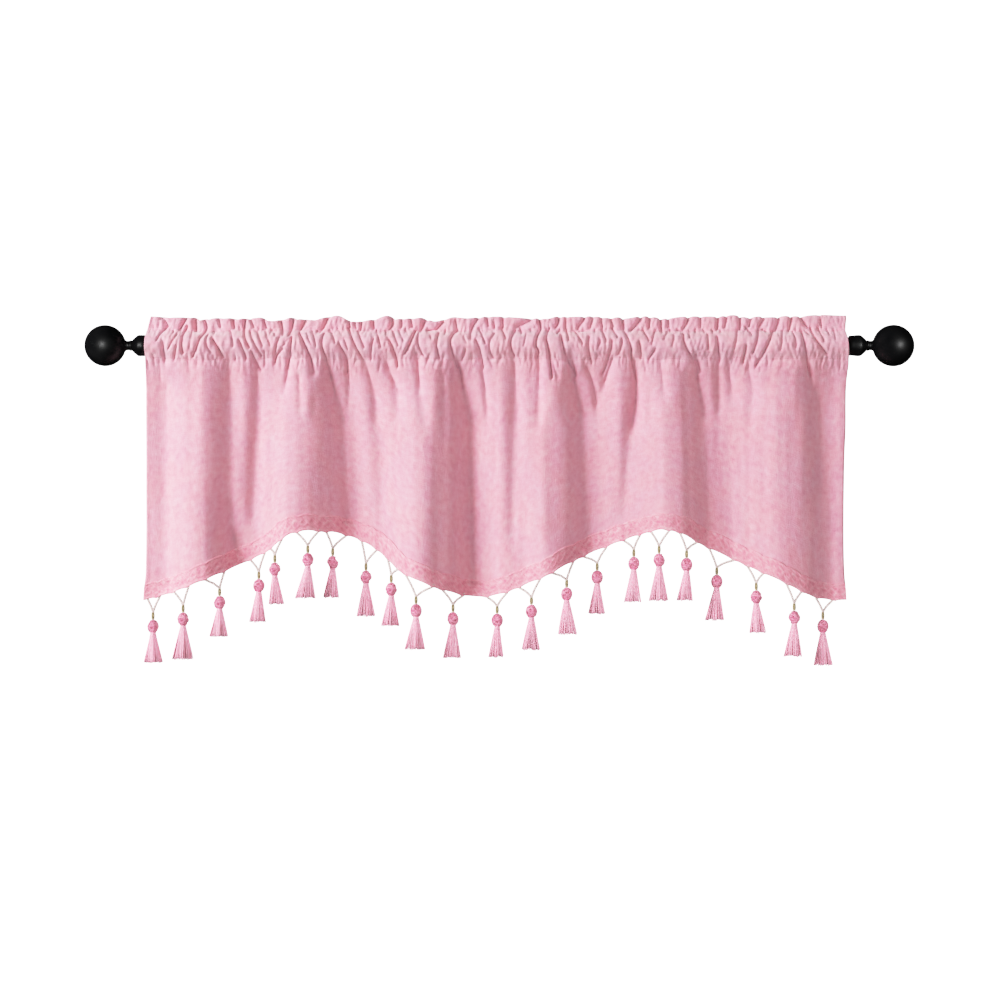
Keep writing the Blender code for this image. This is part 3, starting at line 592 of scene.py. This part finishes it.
def cloth_rows():
    """Rows of x, out and z for the whole cloth, from the hem up, over the top and down the back
    of the heading to the upper stitch, and which of them keep only every second point."""
    share = np.linspace(0, 1, HEADING_CELLS + 1)
    base_x = edge_x(share, np.full(share.shape, -0.1))
    edges = [hem_at(base_x), GATHERS_END, LOWER_STITCH, UPPER_STITCH, top_z(base_x) - LAYER]
    rows = [mix(low, high, s) * np.ones_like(share)
            for low, high, steps in zip(edges, edges[1:], BAND_STEPS)
            for s in np.linspace(0, 1, steps + 1)[:-1]]
    z = np.array([*rows, mix(UPPER_STITCH, edges[-1], 1.0)])
    x = edge_x(share, z)
    out = front_out(x, z)
    z = z + drift(x, z)
    more = []
    for step in range(1, TURN_STEPS + 1):
        turn = math.pi * step / TURN_STEPS
        more.append((x[-1], out[-1] - LAYER * (1 - math.cos(turn)), z[-1] + LAYER * math.sin(turn)))
    for r in range(len(z) - 2, len(z) - 2 - BAND_STEPS[-1], -1):
        more.append((x[r], out[r] - 2 * LAYER, z[r]))
    coarse = [r < BAND_STEPS[0] or r >= len(z) for r in range(len(z) + len(more))]
    x, out, z = (np.vstack([front, *(row[k] for row in more)]) for k, front in enumerate((x, out, z)))
    return x, out, z, coarse


def back_rows():
    """Rows for the back of the rod pocket, from the upper stitch down to its turned-in edge."""
    share = np.linspace(0, 1, BACK_CELLS + 1)
    heights = [*np.linspace(UPPER_STITCH, LOWER_STITCH, 21), LOWER_STITCH - UNDER_STITCH / 2,
               LOWER_STITCH - UNDER_STITCH]
    z = np.repeat(np.array(heights)[:, None], len(share), axis=1)
    x = edge_x(share, z)
    depth = crease_depth(x, z, GATHERS, mirror=-1)
    raised = np.maximum(profile_at(PUFFS, z) * 0.9 - depth, -0.0003)
    pocket = -(profile_at(OVER_ROD, z) + raised)
    flat = front_out(x, z) - 2 * LAYER
    away = np.minimum(z - LOWER_STITCH, UPPER_STITCH - z)
    return x, mix(flat, pocket, ease(away / 0.006)), z + drift(x, z), [False] * len(heights)


def sheet_mesh(name, rows, lift=0.0):
    """A sheet through rows of points. Its UVs are metres along the cloth and up it from lift."""
    x, out, z, coarse = rows
    columns = x.shape[1]
    points = np.stack([x, -out, z], axis=-1)
    rise = np.linalg.norm(np.diff(points, axis=0), axis=-1).mean(axis=1)
    run = np.linalg.norm(np.diff(points[len(x) // 4], axis=0), axis=-1)
    u, v = (np.concatenate([[0.0], np.cumsum(steps)]) for steps in (run, rise))
    numbers, places, marks, faces = {}, [], [], []
    for r, thinned in enumerate(coarse):
        for c in range(0, columns, 2 if thinned else 1):
            numbers[r, c] = len(places)
            places.append(points[r, c].tolist())
            marks.append((u[c], v[r] + lift))
    for r in range(len(coarse) - 1):
        stride = 2 if coarse[r] or coarse[r + 1] else 1
        for c in range(0, columns - 1, stride):
            ends = [range(c, c + stride + 1, 2 if coarse[k] else 1) for k in (r, r + 1)]
            faces.append([numbers[r, k] for k in ends[0]] + [numbers[r + 1, k] for k in reversed(ends[1])])
    mesh = bpy.data.meshes.new(name)
    mesh.from_pydata(places, [], faces)
    corner = np.zeros(len(mesh.loops), dtype=int)
    mesh.loops.foreach_get("vertex_index", corner)
    mesh.uv_layers.new(name="weave").data.foreach_set("uv", np.array(marks)[corner].ravel())
    mesh.shade_smooth()
    return mesh


# ---- Materials ----


class Wire:
    """A value in a material's nodes. Arithmetic on it adds math nodes."""

    def __init__(self, look, socket):
        self.look, self.socket = look, socket

    def math(self, operation, *others):
        return self.look.wire("Math", dict(enumerate((self, *others))), operation=operation)

    __add__ = partialmethod(math, "ADD")
    __sub__ = partialmethod(math, "SUBTRACT")
    __mul__ = partialmethod(math, "MULTIPLY")
    __truediv__ = partialmethod(math, "DIVIDE")

    def clamped(self):
        return self.math("MAXIMUM", 0.0).math("MINIMUM", 1.0)


class Look:
    """Builds one material's nodes."""

    def __init__(self, name, **constants):
        self.material = bpy.data.materials.new(name)
        self.material.use_nodes = True
        self.tree = self.material.node_tree
        self.surface = self.tree.nodes["Principled BSDF"]
        for socket, value in constants.items():
            self.surface.inputs[socket.replace("_", " ")].default_value = value

    def feed(self, socket, value):
        """Links a wire to a socket, or sets a plain value on it."""
        if isinstance(value, Wire):
            self.tree.links.new(value.socket, socket)
        else:
            socket.default_value = value

    def node(self, kind, inputs=(), **settings):
        made = self.tree.nodes.new("ShaderNode" + kind)
        for key, value in settings.items():
            setattr(made, key, value)
        for key, value in dict(inputs).items():
            self.feed(made.inputs[key], value)
        return made

    def wire(self, kind, inputs=(), output=0, **settings):
        return Wire(self, self.node(kind, inputs, **settings).outputs[output])

    def parts(self, vector):
        return [Wire(self, socket) for socket in self.node("SeparateXYZ", {0: vector}).outputs]

    def uv(self):
        return self.parts(self.wire("UVMap", uv_map="weave"))[:2]

    def place(self):
        """Where a point is on the object, in metres."""
        return self.wire("TexCoord", output="Object")

    def vector(self, *values):
        return self.wire("CombineXYZ", dict(enumerate(values)))

    def noise(self, place, scale, detail):
        return self.wire("TexNoise", {"Vector": place, "Scale": scale, "Detail": detail})

    def ramp(self, factor, *stops):
        made = self.node("ValToRGB", {0: factor})
        band = made.color_ramp
        while len(band.elements) < len(stops):
            band.elements.new(0.5)
        for element, (position, colour) in zip(band.elements, stops):
            element.position = position
            element.color = (*colour, 1.0)
        return Wire(self, made.outputs[0])

    def blend(self, *share_and_colours):
        return self.wire("Mix", dict(zip((0, 6, 7), share_and_colours)), 2, data_type="RGBA")

    def colour(self, value):
        self.feed(self.surface.inputs["Base Color"], value)

    def roughness(self, value):
        self.feed(self.surface.inputs["Roughness"], value)

    def bump(self, height, distance, strength):
        made = self.wire("Bump", {"Height": height, "Distance": distance, "Strength": strength})
        self.feed(self.surface.inputs["Normal"], made)


BLACK, WHITE = (0.0, 0.0, 0.0), (1.0, 1.0, 1.0)
THREAD_PITCH = 0.00125  # between the cloth's warp or weft threads
# The cloth's mottling in layers: share, width and height of the patches, and seed.
MOTTLING = ((0.42, 0.0064, 0.0084, 0.0), (0.24, 0.0085, 0.0078, 3.0), (0.13, 0.0120, 0.0026, 7.0),
            (0.13, 0.0017, 0.0024, 9.0), (0.14, 0.0450, 0.0600, 5.0))
# The cloth is drawn paler over the rod pocket and the ruffle: how much, from which height on,
# and over how much of it.
PALER_TONE, PALER_FROM, PALER_OVER = 0.075, -0.028, 0.012
CLOTH_STOPS = (0.34, 0.50, 0.66, 0.82)


def woven(name, *shades):
    """Soft slubby cloth: threads both ways, mottled with its own shades from dark to pale."""
    look = Look(name, Roughness=0.88, Sheen_Weight=1.0, Sheen_Roughness=0.5, Specular_IOR_Level=0.25,
                Sheen_Tint=(1.0, 0.95, 0.96, 1.0))
    u, v = look.uv()

    def patches(wide, high, seed):
        return look.noise(look.vector(u / wide, v / high, seed), 1.0, 1.5)

    layers = [patches(wide, high, seed) * share for share, wide, high, seed in MOTTLING]
    # The colour is drawn paler from just below the lower stitch upwards, over the rod pocket and the
    # ruffle.
    height = look.parts(look.place())[2]
    layers.append(((height - PALER_FROM) * (1 / PALER_OVER)).clamped() * PALER_TONE)
    tone = sum(layers[1:], layers[0])
    warmer = [(stop, (r * 1.01, g, b * 0.985)) for stop, (r, g, b) in zip(CLOTH_STOPS, shades)]
    cooler = [(stop, (r * 0.98, g * 0.995, b * 1.02)) for stop, (r, g, b) in zip(CLOTH_STOPS, shades)]
    share = look.ramp(patches(0.028, 0.050, 19.0), (0.40, BLACK), (0.60, WHITE))
    look.colour(look.blend(share, look.ramp(tone, *warmer), look.ramp(tone, *cooler)))
    warp, weft = ((way * (math.pi / THREAD_PITCH)).math("SINE").math("ABSOLUTE") for way in (u, v))
    slubs = patches(0.0070, 0.0012, 11.0) + patches(0.0012, 0.0080, 13.0)
    look.bump(warp * weft * 0.3 + slubs, 0.0006, 0.6)
    look.roughness(slubs * 0.1 + 0.78)
    return look.material


SPUN_PITCH = 0.0016  # along a strand, from one turn of its plies to the next


def spun(name, dark, light, sheen=0.3):
    """Twisted yarn: fine plies that wind along each strand, each strand a tone of its own."""
    look = Look(name, Roughness=0.75, Sheen_Weight=sheen, Sheen_Roughness=0.4, Specular_IOR_Level=0.3)
    along, turn = look.uv()
    own = look.wire("TexWhiteNoise", {"W": turn.math("FLOOR")}, "Value", noise_dimensions="1D")
    ply = ((along * (2 * math.pi / SPUN_PITCH) + turn * (4 * math.pi)).math("SINE") + 1.0) * 0.5
    fuzz = look.noise(look.place(), 900.0, 2.0)
    patch = look.noise(look.place(), 320.0, 1.0)
    # Painted shade: the plies' relief also goes into the colour, darker in the grooves between them.
    look.colour(look.ramp(own * 0.2 + fuzz * 0.15 + ply * 0.15 + patch * 0.5, (0.3, dark), (0.7, light)))
    look.bump(ply + fuzz, 0.0003, 0.45)
    return look.material


def braided(name, dark, middle, light):
    """A braid of crossing scroll cords with slanting strands; the gaps between the cords are painted
    darker, as painted shade.
    """
    look = Look(name, Roughness=0.75, Sheen_Weight=0.6, Sheen_Roughness=0.45, Specular_IOR_Level=0.3)
    u, v = look.uv()
    swing = (u * (2 * math.pi / SCROLL_LENGTH)).math("SINE") * SCROLL_SWING
    across = v - BRAID_WIDTH / 2
    cords = (across + swing).math("ABSOLUTE").math("MINIMUM", (across - swing).math("ABSOLUTE"))
    rims = (across.math("ABSOLUTE") - (BRAID_WIDTH / 2 - 2 * RIM_HALF)) * -1.0
    # Painted shade: the colour is drawn darker in the gaps between the cords and the rims.
    painted_eye_shade = ((cords.math("MINIMUM", rims) - SCROLL_HALF * 0.6) * (1 / 0.0022)).clamped()
    strands = look.noise(look.vector((u + v) * 560.0, (u - v) * 160.0), 1.0, 2.0)
    clouds = look.noise(look.vector(u, v, 2.0), 170.0, 2.0)
    tone = strands * 0.5 + clouds * 0.5 - painted_eye_shade * 0.07
    look.colour(look.ramp(tone, (0.32, dark), (0.5, middle), (0.64, light)))
    look.bump(strands, 0.0005, 0.5)
    return look.material


def enamelled(name, dark, light):
    look = Look(name, Specular_IOR_Level=0.35)
    wear = look.noise(look.place(), 60.0, 4.0)
    look.colour(look.ramp(wear, (0.3, dark), (0.8, light)))
    look.roughness(wear * 0.12 + 0.35)
    look.bump(look.noise(look.place(), 900.0, 2.0), 0.00005, 0.15)
    return look.material


def gilded(name, dark, light):
    look = Look(name, Metallic=0.5)
    tarnish = look.noise(look.place(), 420.0, 3.0)
    look.colour(look.ramp(tarnish, (0.3, dark), (0.7, light)))
    look.roughness(tarnish * 0.25 + 0.2)
    look.bump(tarnish, 0.0001, 0.5)
    return look.material


# ---- The pieces ----


def make_cloth(look):
    cloth = new_object(sheet_mesh("valance_cloth", cloth_rows()), look)
    back = new_object(sheet_mesh("pocket_back", back_rows(), lift=0.4), look)
    for piece in (cloth, back):
        layer = piece.modifiers.new("thickness", "SOLIDIFY")
        layer.thickness, layer.offset = CLOTH_THICKNESS, 0.0
        dress(piece, "rose_cloth", "panel")
    return cloth, back


def cord(gap, half, relief):
    """The height of a round cord at a distance from its middle line."""
    return relief * np.sqrt(np.maximum(1 - (gap / half) ** 2, 0))


def make_braid(look):
    """A ribbon along the hem: two crossing scroll cords between two rolled rims."""
    xs = np.linspace(CLOTH_LEFT - 0.003, CLOTH_RIGHT + 0.003, BRAID_CELLS + 1)
    hem = hem_at(xs)
    slope = soften(np.gradient(hem, xs), xs[1] - xs[0], 0.010)
    across = np.linspace(0, BRAID_WIDTH, BRAID_ROWS + 1)[:, None]
    z = hem + across * np.sqrt(1 + slope**2)
    x = edge_x((xs - xs[0]) / (xs[-1] - xs[0]), z)
    run = np.concatenate([[0.0], np.cumsum(np.hypot(np.diff(xs), np.diff(hem)))])
    swing = SCROLL_SWING * np.sin(2 * math.pi * run / SCROLL_LENGTH)
    steep = 2 * math.pi * SCROLL_SWING / SCROLL_LENGTH * np.cos(2 * math.pi * run / SCROLL_LENGTH)
    lean = np.sqrt(1 + steep**2)
    relief = np.zeros_like(z)
    for sign in (-1, 1):
        gap = (across - BRAID_WIDTH / 2 - sign * swing) / lean
        relief = np.maximum(relief, cord(gap, SCROLL_HALF, SCROLL_RELIEF))
    for middle in (RIM_HALF, BRAID_WIDTH - RIM_HALF):
        relief = np.maximum(relief, cord(across - middle, RIM_HALF, RIM_RELIEF) * np.ones_like(z))
    base = front_out(x, z) + CLOTH_THICKNESS / 2
    back = np.stack([x, -base, z], axis=-1)
    front = np.stack([x, -(base + BRAID_BASE + relief), z], axis=-1)
    soup = Soup()
    uvs = [[(r, a) for r in run] for a in across[:, 0]]
    soup.grid([back[0], *front, back[-1]], [uvs[0], *uvs, uvs[-1]])
    soup.grid([back[-1], back[0]], [uvs[-1], uvs[0]])
    braid = new_object(soup.mesh("hem_ribbon"), look)
    close_up(braid, weld=1e-6, sharp=180)
    return dress(braid, "rose_braid", "hem_braid")


def add_stitches(soup, height, span, skin, side):
    """Short stitches along the rod at a height, on the cloth's front (side 1) or back (-1) skin,
    dipping in at both ends."""
    length = span[-1] - span[0]
    count = int(length / STITCH_PITCH)
    for k in range(count):
        start = (k + 0.5) * length / count - STITCH_LENGTH / 2
        points = []
        for share, lift in ((0.0, STITCH_DIP), (0.25, STITCH_LIFT), (0.75, STITCH_LIFT), (1.0, STITCH_DIP)):
            x = span[0] + (start + share * STITCH_LENGTH)
            point = Vector((x, -np.interp(x, span, skin), height + drift(x, height)))
            points.append(point + Vector((0, -side, 0)) * lift)
        add_tube(soup, points, STITCH_RADIUS, 5)


def make_stitching(look):
    """The sewing of the rod pocket, front and back."""
    soup = Soup()
    span = np.linspace(CLOTH_LEFT + 0.004, CLOTH_RIGHT - 0.004, 1841)
    for height in (UPPER_STITCH, LOWER_STITCH):
        out = front_out(span[None, :], np.full((1, len(span)), height))[0]
        add_stitches(soup, height, span, out + CLOTH_THICKNESS / 2, 1)
        add_stitches(soup, height, span, out - 2 * LAYER - CLOTH_THICKNESS / 2, -1)
    return dress(new_object(soup.mesh("cloth_stitching"), look), "rose_cloth")


def twisted_thread(soup, path, look, turn=0.0):
    """Two plies wound round each other along a path."""
    for ply in (0, 1):
        line = []
        for gone, centre, side, across in frames_along(path):
            angle = turn + math.pi * ply + 2 * math.pi * gone / PLY_PITCH
            line.append(centre + (side * math.cos(angle) + across * math.sin(angle)) * PLY_RADIUS * 0.9)
        add_tube(soup, line, PLY_RADIUS, 5, look, tag=float(ply))


def line_between(points, spacing=0.0006):
    """Evenly spaced points on a Catmull-Rom curve through a few given ones."""
    points = [Vector(p) for p in points]
    padded = [points[0] * 2 - points[1], *points, points[-1] * 2 - points[-2]]
    out = []
    for a, b, c, d in zip(padded, padded[1:], padded[2:], padded[3:]):
        steps = max(2, int(round((c - b).length / spacing)))
        for k in range(steps):
            t = k / steps
            out.append(0.5 * (2 * b + (c - a) * t + (2 * a - 5 * b + 4 * c - d) * t * t
                              + (3 * b - a - 3 * c + d) * t**3))
    out.append(points[-1])
    return out


# Each wrap of the tassel's ball: how far it is tilted and which way it heads, in radians.
WRAPS = ((0.0, 0.0), (0.6, 0.4), (-0.7, 1.3), (1.15, 2.4), (-1.2, 3.3), (0.3, 4.6), (1.5, 5.3))
BALL = Vector((0.0058, 0.0056, 0.0074))
WRAP_RADIUS = 0.00155
NECK = 0.0031
STRAND = 0.00072
BALL_RISE = 0.0005  # from the knot's centre up to the ball's
SKIRT_TOP = -0.0084
KNOT_TOP = 0.0070
# Each ring of the skirt: how many strands, how far it spreads and how much shorter it is.
RINGS_OF_STRANDS = ((44, 1.0, 0.0), (32, 0.80, 0.0006), (20, 0.55, 0.0010), (8, 0.25, 0.0012))


def add_knot(soup, rng, look):
    """A wound ball: a core under crossing wraps of yarn."""
    angles = [math.pi * k / 10 for k in range(11)]
    profile = [(BALL_RISE - 0.94 * BALL.z * math.cos(a), 0.9 * BALL.x * math.sin(a)) for a in angles]
    add_lathe(soup, profile, 14, look=look)
    spin = rng.uniform(0, 6.28)
    for number, (tilt, heading) in enumerate(WRAPS):
        turn = Matrix.Rotation(heading + spin, 3, "Z") @ Matrix.Rotation(tilt, 3, "X")
        line = []
        for k in range(29):
            angle = 2 * math.pi * k / 28
            point = turn @ Vector((math.cos(angle), math.sin(angle), 0.06 * math.sin(2 * angle)))
            line.append(Vector((point.x * BALL.x, point.y * BALL.y, point.z * BALL.z + BALL_RISE)) * 1.06)
        add_tube(soup, line, WRAP_RADIUS, 6, look, tag=float(number + 1))


def add_skirt(soup, size, rng):
    """Strands that fan out under the ball, bound at the neck."""
    length = size.centre.z - size.end + SKIRT_TOP
    half = size.width / 2
    locks, turn = rng.integers(3, 6), rng.uniform(0, 2 * math.pi)
    for ring, (count, spread, short) in enumerate(RINGS_OF_STRANDS):
        for k in range(count):
            angle = 2 * math.pi * (k + rng.uniform(-0.3, 0.3)) / count + ring
            uneven = 0.0006 * (1 + math.sin(locks * angle + 2 * turn))
            drop = length - short - uneven - abs(rng.normal(0, 0.0006))
            wander = rng.uniform(-0.0008, 0.0008)
            line = []
            for step in range(7):
                down = step / 6
                swell = 1 + 0.10 * down * math.sin(locks * angle + turn) + 0.05 * math.sin(2 * angle + turn)
                opened = down + 0.03 * math.sin(math.pi * down)
                r = mix(NECK * spread, half * spread * swell + wander, opened)
                bend = angle - 0.12 * down * math.sin(locks * angle + turn + 0.5)
                x, y = r * math.cos(bend) + size.lean * down, r * math.sin(bend)
                line.append((x, y, SKIRT_TOP - drop * down))
            add_tube(soup, line, STRAND, 4, tag=float(20 + ring * 50 + k))
    for number, z in enumerate((SKIRT_TOP + 0.0014, SKIRT_TOP + 0.0001, SKIRT_TOP - 0.0012)):
        angles = [2 * math.pi * k / 16 for k in range(17)]
        line = [(NECK * math.cos(a), NECK * math.sin(a), z) for a in angles]
        add_tube(soup, line, 0.0008, 6, tag=float(12 + number))


def hem_out(x, z):
    """How far the cloth stands out just above its lower edge, where the threads are sewn in."""
    return front_out(np.array([[x]]), np.array([[z + 0.002]]))[0, 0] - 0.0004


def make_tassel(number, yarn, thread, wound):
    size = TASSEL_SIZES[number]
    rng = np.random.default_rng(number)
    soup = Soup()
    add_skirt(soup, size, rng)
    add_knot(soup, rng, 2)
    fork = Vector((0, 0, FORK_ABOVE_KNOT))
    twisted_thread(soup, line_between([Vector((0, 0, KNOT_TOP)), fork * 0.7, fork]), 1)
    for side, tip in ((-1, size.left), (1, size.right)):
        leg = Vector((tip.x, -hem_out(tip.x, tip.z), tip.z)) - size.centre
        inside = leg + Vector((side * 0.0006, 0.0, 0.0030))
        bend = fork.lerp(leg, 0.4) + Vector((0, 0, 0.0008))
        twisted_thread(soup, line_between([fork - Vector((0, 0, 0.001)), bend, leg, inside]), 1, turn=side)
    name = f"yarn_tassel_{number:02d}"
    piece = new_object(soup.mesh(name), yarn, thread, wound)
    piece.location = size.centre
    return dress(piece, "rose_yarn", f"tassel_{number:02d}")


# A bead from its middle to its end: shares of half its length and of its radius.
BEAD_OUTLINE = ((0.0, 1.0), (0.45, 0.97), (0.78, 0.80), (0.86, 0.90), (0.96, 0.93), (1.0, 0.82))
BEAD_BORE = 0.00115


def make_bead(number, look):
    """A little gilt tube, swollen in the middle, with a rolled rim at each end."""
    low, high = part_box(f"bead_{number:02d}")
    half, radius = (high.z - low.z) / 2, (high.x - low.x) / 2
    upper = [(half * along, radius * wide) for along, wide in BEAD_OUTLINE] + [(half, BEAD_BORE * 1.15)]
    lower = [(-along, wide) for along, wide in reversed(upper)]
    inside = [(half * 0.9, BEAD_BORE), (-half * 0.9, BEAD_BORE), lower[0]]
    soup = Soup()
    add_lathe(soup, lower + upper[1:] + inside, 18)
    piece = new_object(soup.mesh(f"gilt_bead_{number:02d}"), look)
    piece.location = (low + high) / 2
    return dress(piece, "old_gold", f"bead_{number:02d}")


# A finial from its collar out to the ball: distance from the ball's centre and radius, in
# millimetres.
FINIAL_OUTLINE = (
    (61.0, 12.3), (58.0, 12.6), (55.0, 13.1), (52.0, 13.5), (49.0, 13.8), (46.0, 13.9), (44.6, 13.8),
    (43.4, 13.5), (42.2, 12.7), (41.0, 11.7), (39.6, 10.5), (38.2, 9.3), (37.0, 8.1), (36.3, 7.1),
    (35.9, 6.6), (35.5, 6.4), (35.1, 6.7), (34.4, 6.9), (33.4, 6.9), (32.8, 6.6), (32.4, 6.2),
    (31.6, 6.0), (28.8, 6.0), (27.8, 6.3), (27.2, 6.9), (26.8, 7.4), (26.4, 7.5),
)
Finial = namedtuple("Finial", "collar_end centre radius")  # along the rod from its middle
FINIALS = {-1: Finial(0.4665, 0.5196, 0.0270), 1: Finial(0.4630, 0.5217, 0.0273)}
COLLAR_BORE = 0.0113


def close_up(piece, weld=4e-6, sharp=50):
    """Welds a piece's tips or seams and turns its faces outwards."""
    bm = bmesh.new()
    bm.from_mesh(piece.data)
    bmesh.ops.remove_doubles(bm, verts=bm.verts, dist=weld)
    bmesh.ops.holes_fill(bm, edges=bm.edges, sides=0)
    bmesh.ops.recalc_face_normals(bm, faces=bm.faces)
    bm.to_mesh(piece.data)
    bm.free()
    piece.data.shade_smooth()
    piece.data.set_sharp_from_angle(angle=math.radians(sharp))


def turned_along_rod(name, profile, sides, look, side=1):
    """A turned piece from its profile's distances along the rod, to the right or (side -1) left."""
    soup = Soup()
    add_lathe(soup, profile, sides, Matrix.Rotation(side * math.pi / 2, 3, "Y"))
    piece = new_object(soup.mesh(name), look)
    close_up(piece)
    return piece


def make_finial(side, look):
    node = "finial_left" if side < 0 else "finial_right"
    collar_end, centre, radius = FINIALS[side]
    outline = [(centre - back * MM, r * MM) for back, r in FINIAL_OUTLINE]
    outline = [point for point in outline if point[0] > collar_end + 0.0012]
    rod_end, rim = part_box("rod")[1].x, outline[0][1]
    profile = [(rod_end, 0), (rod_end, COLLAR_BORE), (collar_end + 0.0003, COLLAR_BORE),
               (collar_end, COLLAR_BORE + 0.0003), (collar_end, rim - 0.0007), (collar_end + CHAMFER, rim)]
    profile += outline
    start = math.asin(min(1.0, profile[-1][1] / radius))
    for k in range(1, 33):
        angle = mix(start, math.pi, k / 32)
        profile.append((centre - radius * math.cos(angle), radius * math.sin(angle)))
    return dress(turned_along_rod(f"ball_{node}", profile, 72, look, side), "black_enamel", node)


def make_rod(look):
    low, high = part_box("rod")
    radius, end = (high.z - low.z) / 2, high.x
    profile = [(-end, 0), (-end, radius - CHAMFER), (-end + CHAMFER, radius)]
    profile += [(mix(-end, end, k / 12), radius) for k in range(1, 12)]
    profile += [(end - CHAMFER, radius), (end, radius - CHAMFER), (end, 0)]
    return dress(turned_along_rod("curtain_rod", profile, 64, look), "black_enamel", "rod")


# ---- Stage, light and camera ----

FLOOR_Z = -1.25
FLOOR_REACH = 14.0


def make_stage():
    mesh = bpy.data.meshes.new("floor")
    corners = ((-1, -1), (1, -1), (1, 1), (-1, 1))
    mesh.from_pydata([(x * FLOOR_REACH, y * FLOOR_REACH, FLOOR_Z) for x, y in corners], [], [(0, 1, 2, 3)])
    look = Look("pale_floor", Roughness=0.9, Base_Color=(0.8, 0.8, 0.8, 1.0), Emission_Color=(*WHITE, 1.0),
                Emission_Strength=2.5)
    floor = new_object(mesh, look.material)
    floor.visible_glossy = floor.visible_diffuse = False


def area_light(name, place, size, power, only_glints=False, only_on=()):
    """A soft lamp that faces the object. It lights all pieces, or only those in only_on."""
    data = bpy.data.lights.new(name, "AREA")
    data.shape = "RECTANGLE"
    data.size, data.size_y = size
    data.energy = power
    light = bpy.data.objects.new(name, data)
    light.location = place
    light.rotation_euler = (LIT_PLACE - Vector(place)).to_track_quat("-Z", "Y").to_euler()
    light.visible_glossy, light.visible_diffuse = only_glints, not only_glints
    bpy.context.scene.collection.objects.link(light)
    if only_on:
        group = bpy.data.collections.new(name + "_reach")
        for piece in only_on:
            group.objects.link(piece)
        light.light_linking.receiver_collection = group


LIT_PLACE = Vector((0.0, 0.0, -0.15))
WORLD_LIGHT = 0.24
WORLD_SEEN = 2.25  # how much brighter the camera sees it


def light_scene(finials, fringe):
    world = bpy.data.worlds.new("studio")
    bpy.context.scene.world = world
    world.use_nodes = True
    tree = world.node_tree
    seen, strength = (tree.nodes.new("ShaderNode" + kind) for kind in ("LightPath", "Math"))
    strength.operation = "MULTIPLY_ADD"
    strength.inputs[1].default_value = WORLD_SEEN
    strength.inputs[2].default_value = WORLD_LIGHT
    tree.links.new(seen.outputs["Is Camera Ray"], strength.inputs[0])
    tree.links.new(strength.outputs[0], tree.nodes["Background"].inputs["Strength"])
    tree.nodes["Background"].inputs["Color"].default_value = (*WHITE, 1.0)
    world.cycles_visibility.glossy = False
    area_light("key", (-3.6, -1.87, 0.62), (1.95, 1.55), 250.0)
    area_light("fill", (0.9, -2.9, 0.3), (2.0, 2.0), 29.0)
    area_light("back", (1.8, 3.0, 0.7), (2.2, 2.2), 75.0)
    left, right = finials
    area_light("glint_left", (-0.95, -2.95, 0.15), (0.6, 0.6), 60.0, only_glints=True, only_on=[left])
    area_light("glint_right", (1.95, -2.5, 0.15), (0.6, 0.6), 60.0, only_glints=True, only_on=[right])
    area_light("fringe_fill", (1.4, -2.8, -0.5), (2.0, 2.0), 66.0, only_on=fringe)


# How bright a place is, and how bright it is shown: lights draw together as they do on film.
SHOULDER = ((0.0, 0.0), (0.3, 0.3), (0.55, 0.55), (0.9, 0.76), (1.4, 0.90), (2.4, 1.0))


def soften_highlights():
    settings = bpy.context.scene.view_settings
    settings.view_transform = "Standard"
    settings.use_curve_mapping = True
    mapping = settings.curve_mapping
    brightest = SHOULDER[-1][0]
    mapping.white_level = (brightest, brightest, brightest)
    curve = mapping.curves[3]
    while len(curve.points) < len(SHOULDER):
        curve.points.new(0.5, 0.5)
    for point, (given, shown) in zip(curve.points, SHOULDER):
        point.location = (given / brightest, shown)
    mapping.update()


def make_camera():
    data = bpy.data.cameras.new("camera")
    data.lens, data.sensor_width = 80.0, 36.0
    camera = bpy.data.objects.new("camera", data)
    camera.location = (0.002, -2.936, -0.204)
    camera.rotation_euler = (math.radians(90), 0, 0)
    bpy.context.scene.collection.objects.link(camera)
    bpy.context.scene.camera = camera


# ---- Put together ----

make_camera()
cloth_look = woven("rose_chenille", (0.79, 0.29, 0.38), (0.88, 0.375, 0.465), (0.92, 0.46, 0.545),
                   (0.92, 0.54, 0.62))
braid_look = braided("rose_ribbon", (0.80, 0.24, 0.33), (0.94, 0.375, 0.455), (0.97, 0.50, 0.57))
yarn_look = spun("rose_spun", (0.89, 0.325, 0.43), (0.95, 0.54, 0.655), 0.40)
wound_look = spun("rose_wound", (0.50, 0.11, 0.20), (0.84, 0.35, 0.45))
sewing_look = spun("rose_sewing", (0.80, 0.31, 0.39), (0.90, 0.40, 0.49))
thread_look = spun("pale_thread", (0.50, 0.39, 0.38), (0.76, 0.64, 0.61))
enamel_look = enamelled("satin_black", (0.0025, 0.0025, 0.003), (0.006, 0.006, 0.0065))
gilt_look = gilded("aged_gilt", (0.30, 0.24, 0.12), (0.76, 0.65, 0.42))

cloth, pocket_back = make_cloth(cloth_look)
braid = make_braid(braid_look)
stitching = make_stitching(sewing_look)
tassels = [make_tassel(number, yarn_look, thread_look, wound_look) for number in TASSELS]
beads = [make_bead(number, gilt_look) for number in TASSELS]
make_rod(enamel_look)
finials = [make_finial(side, enamel_look) for side in (-1, 1)]

make_stage()
light_scene(finials, tassels + beads)
soften_highlights()
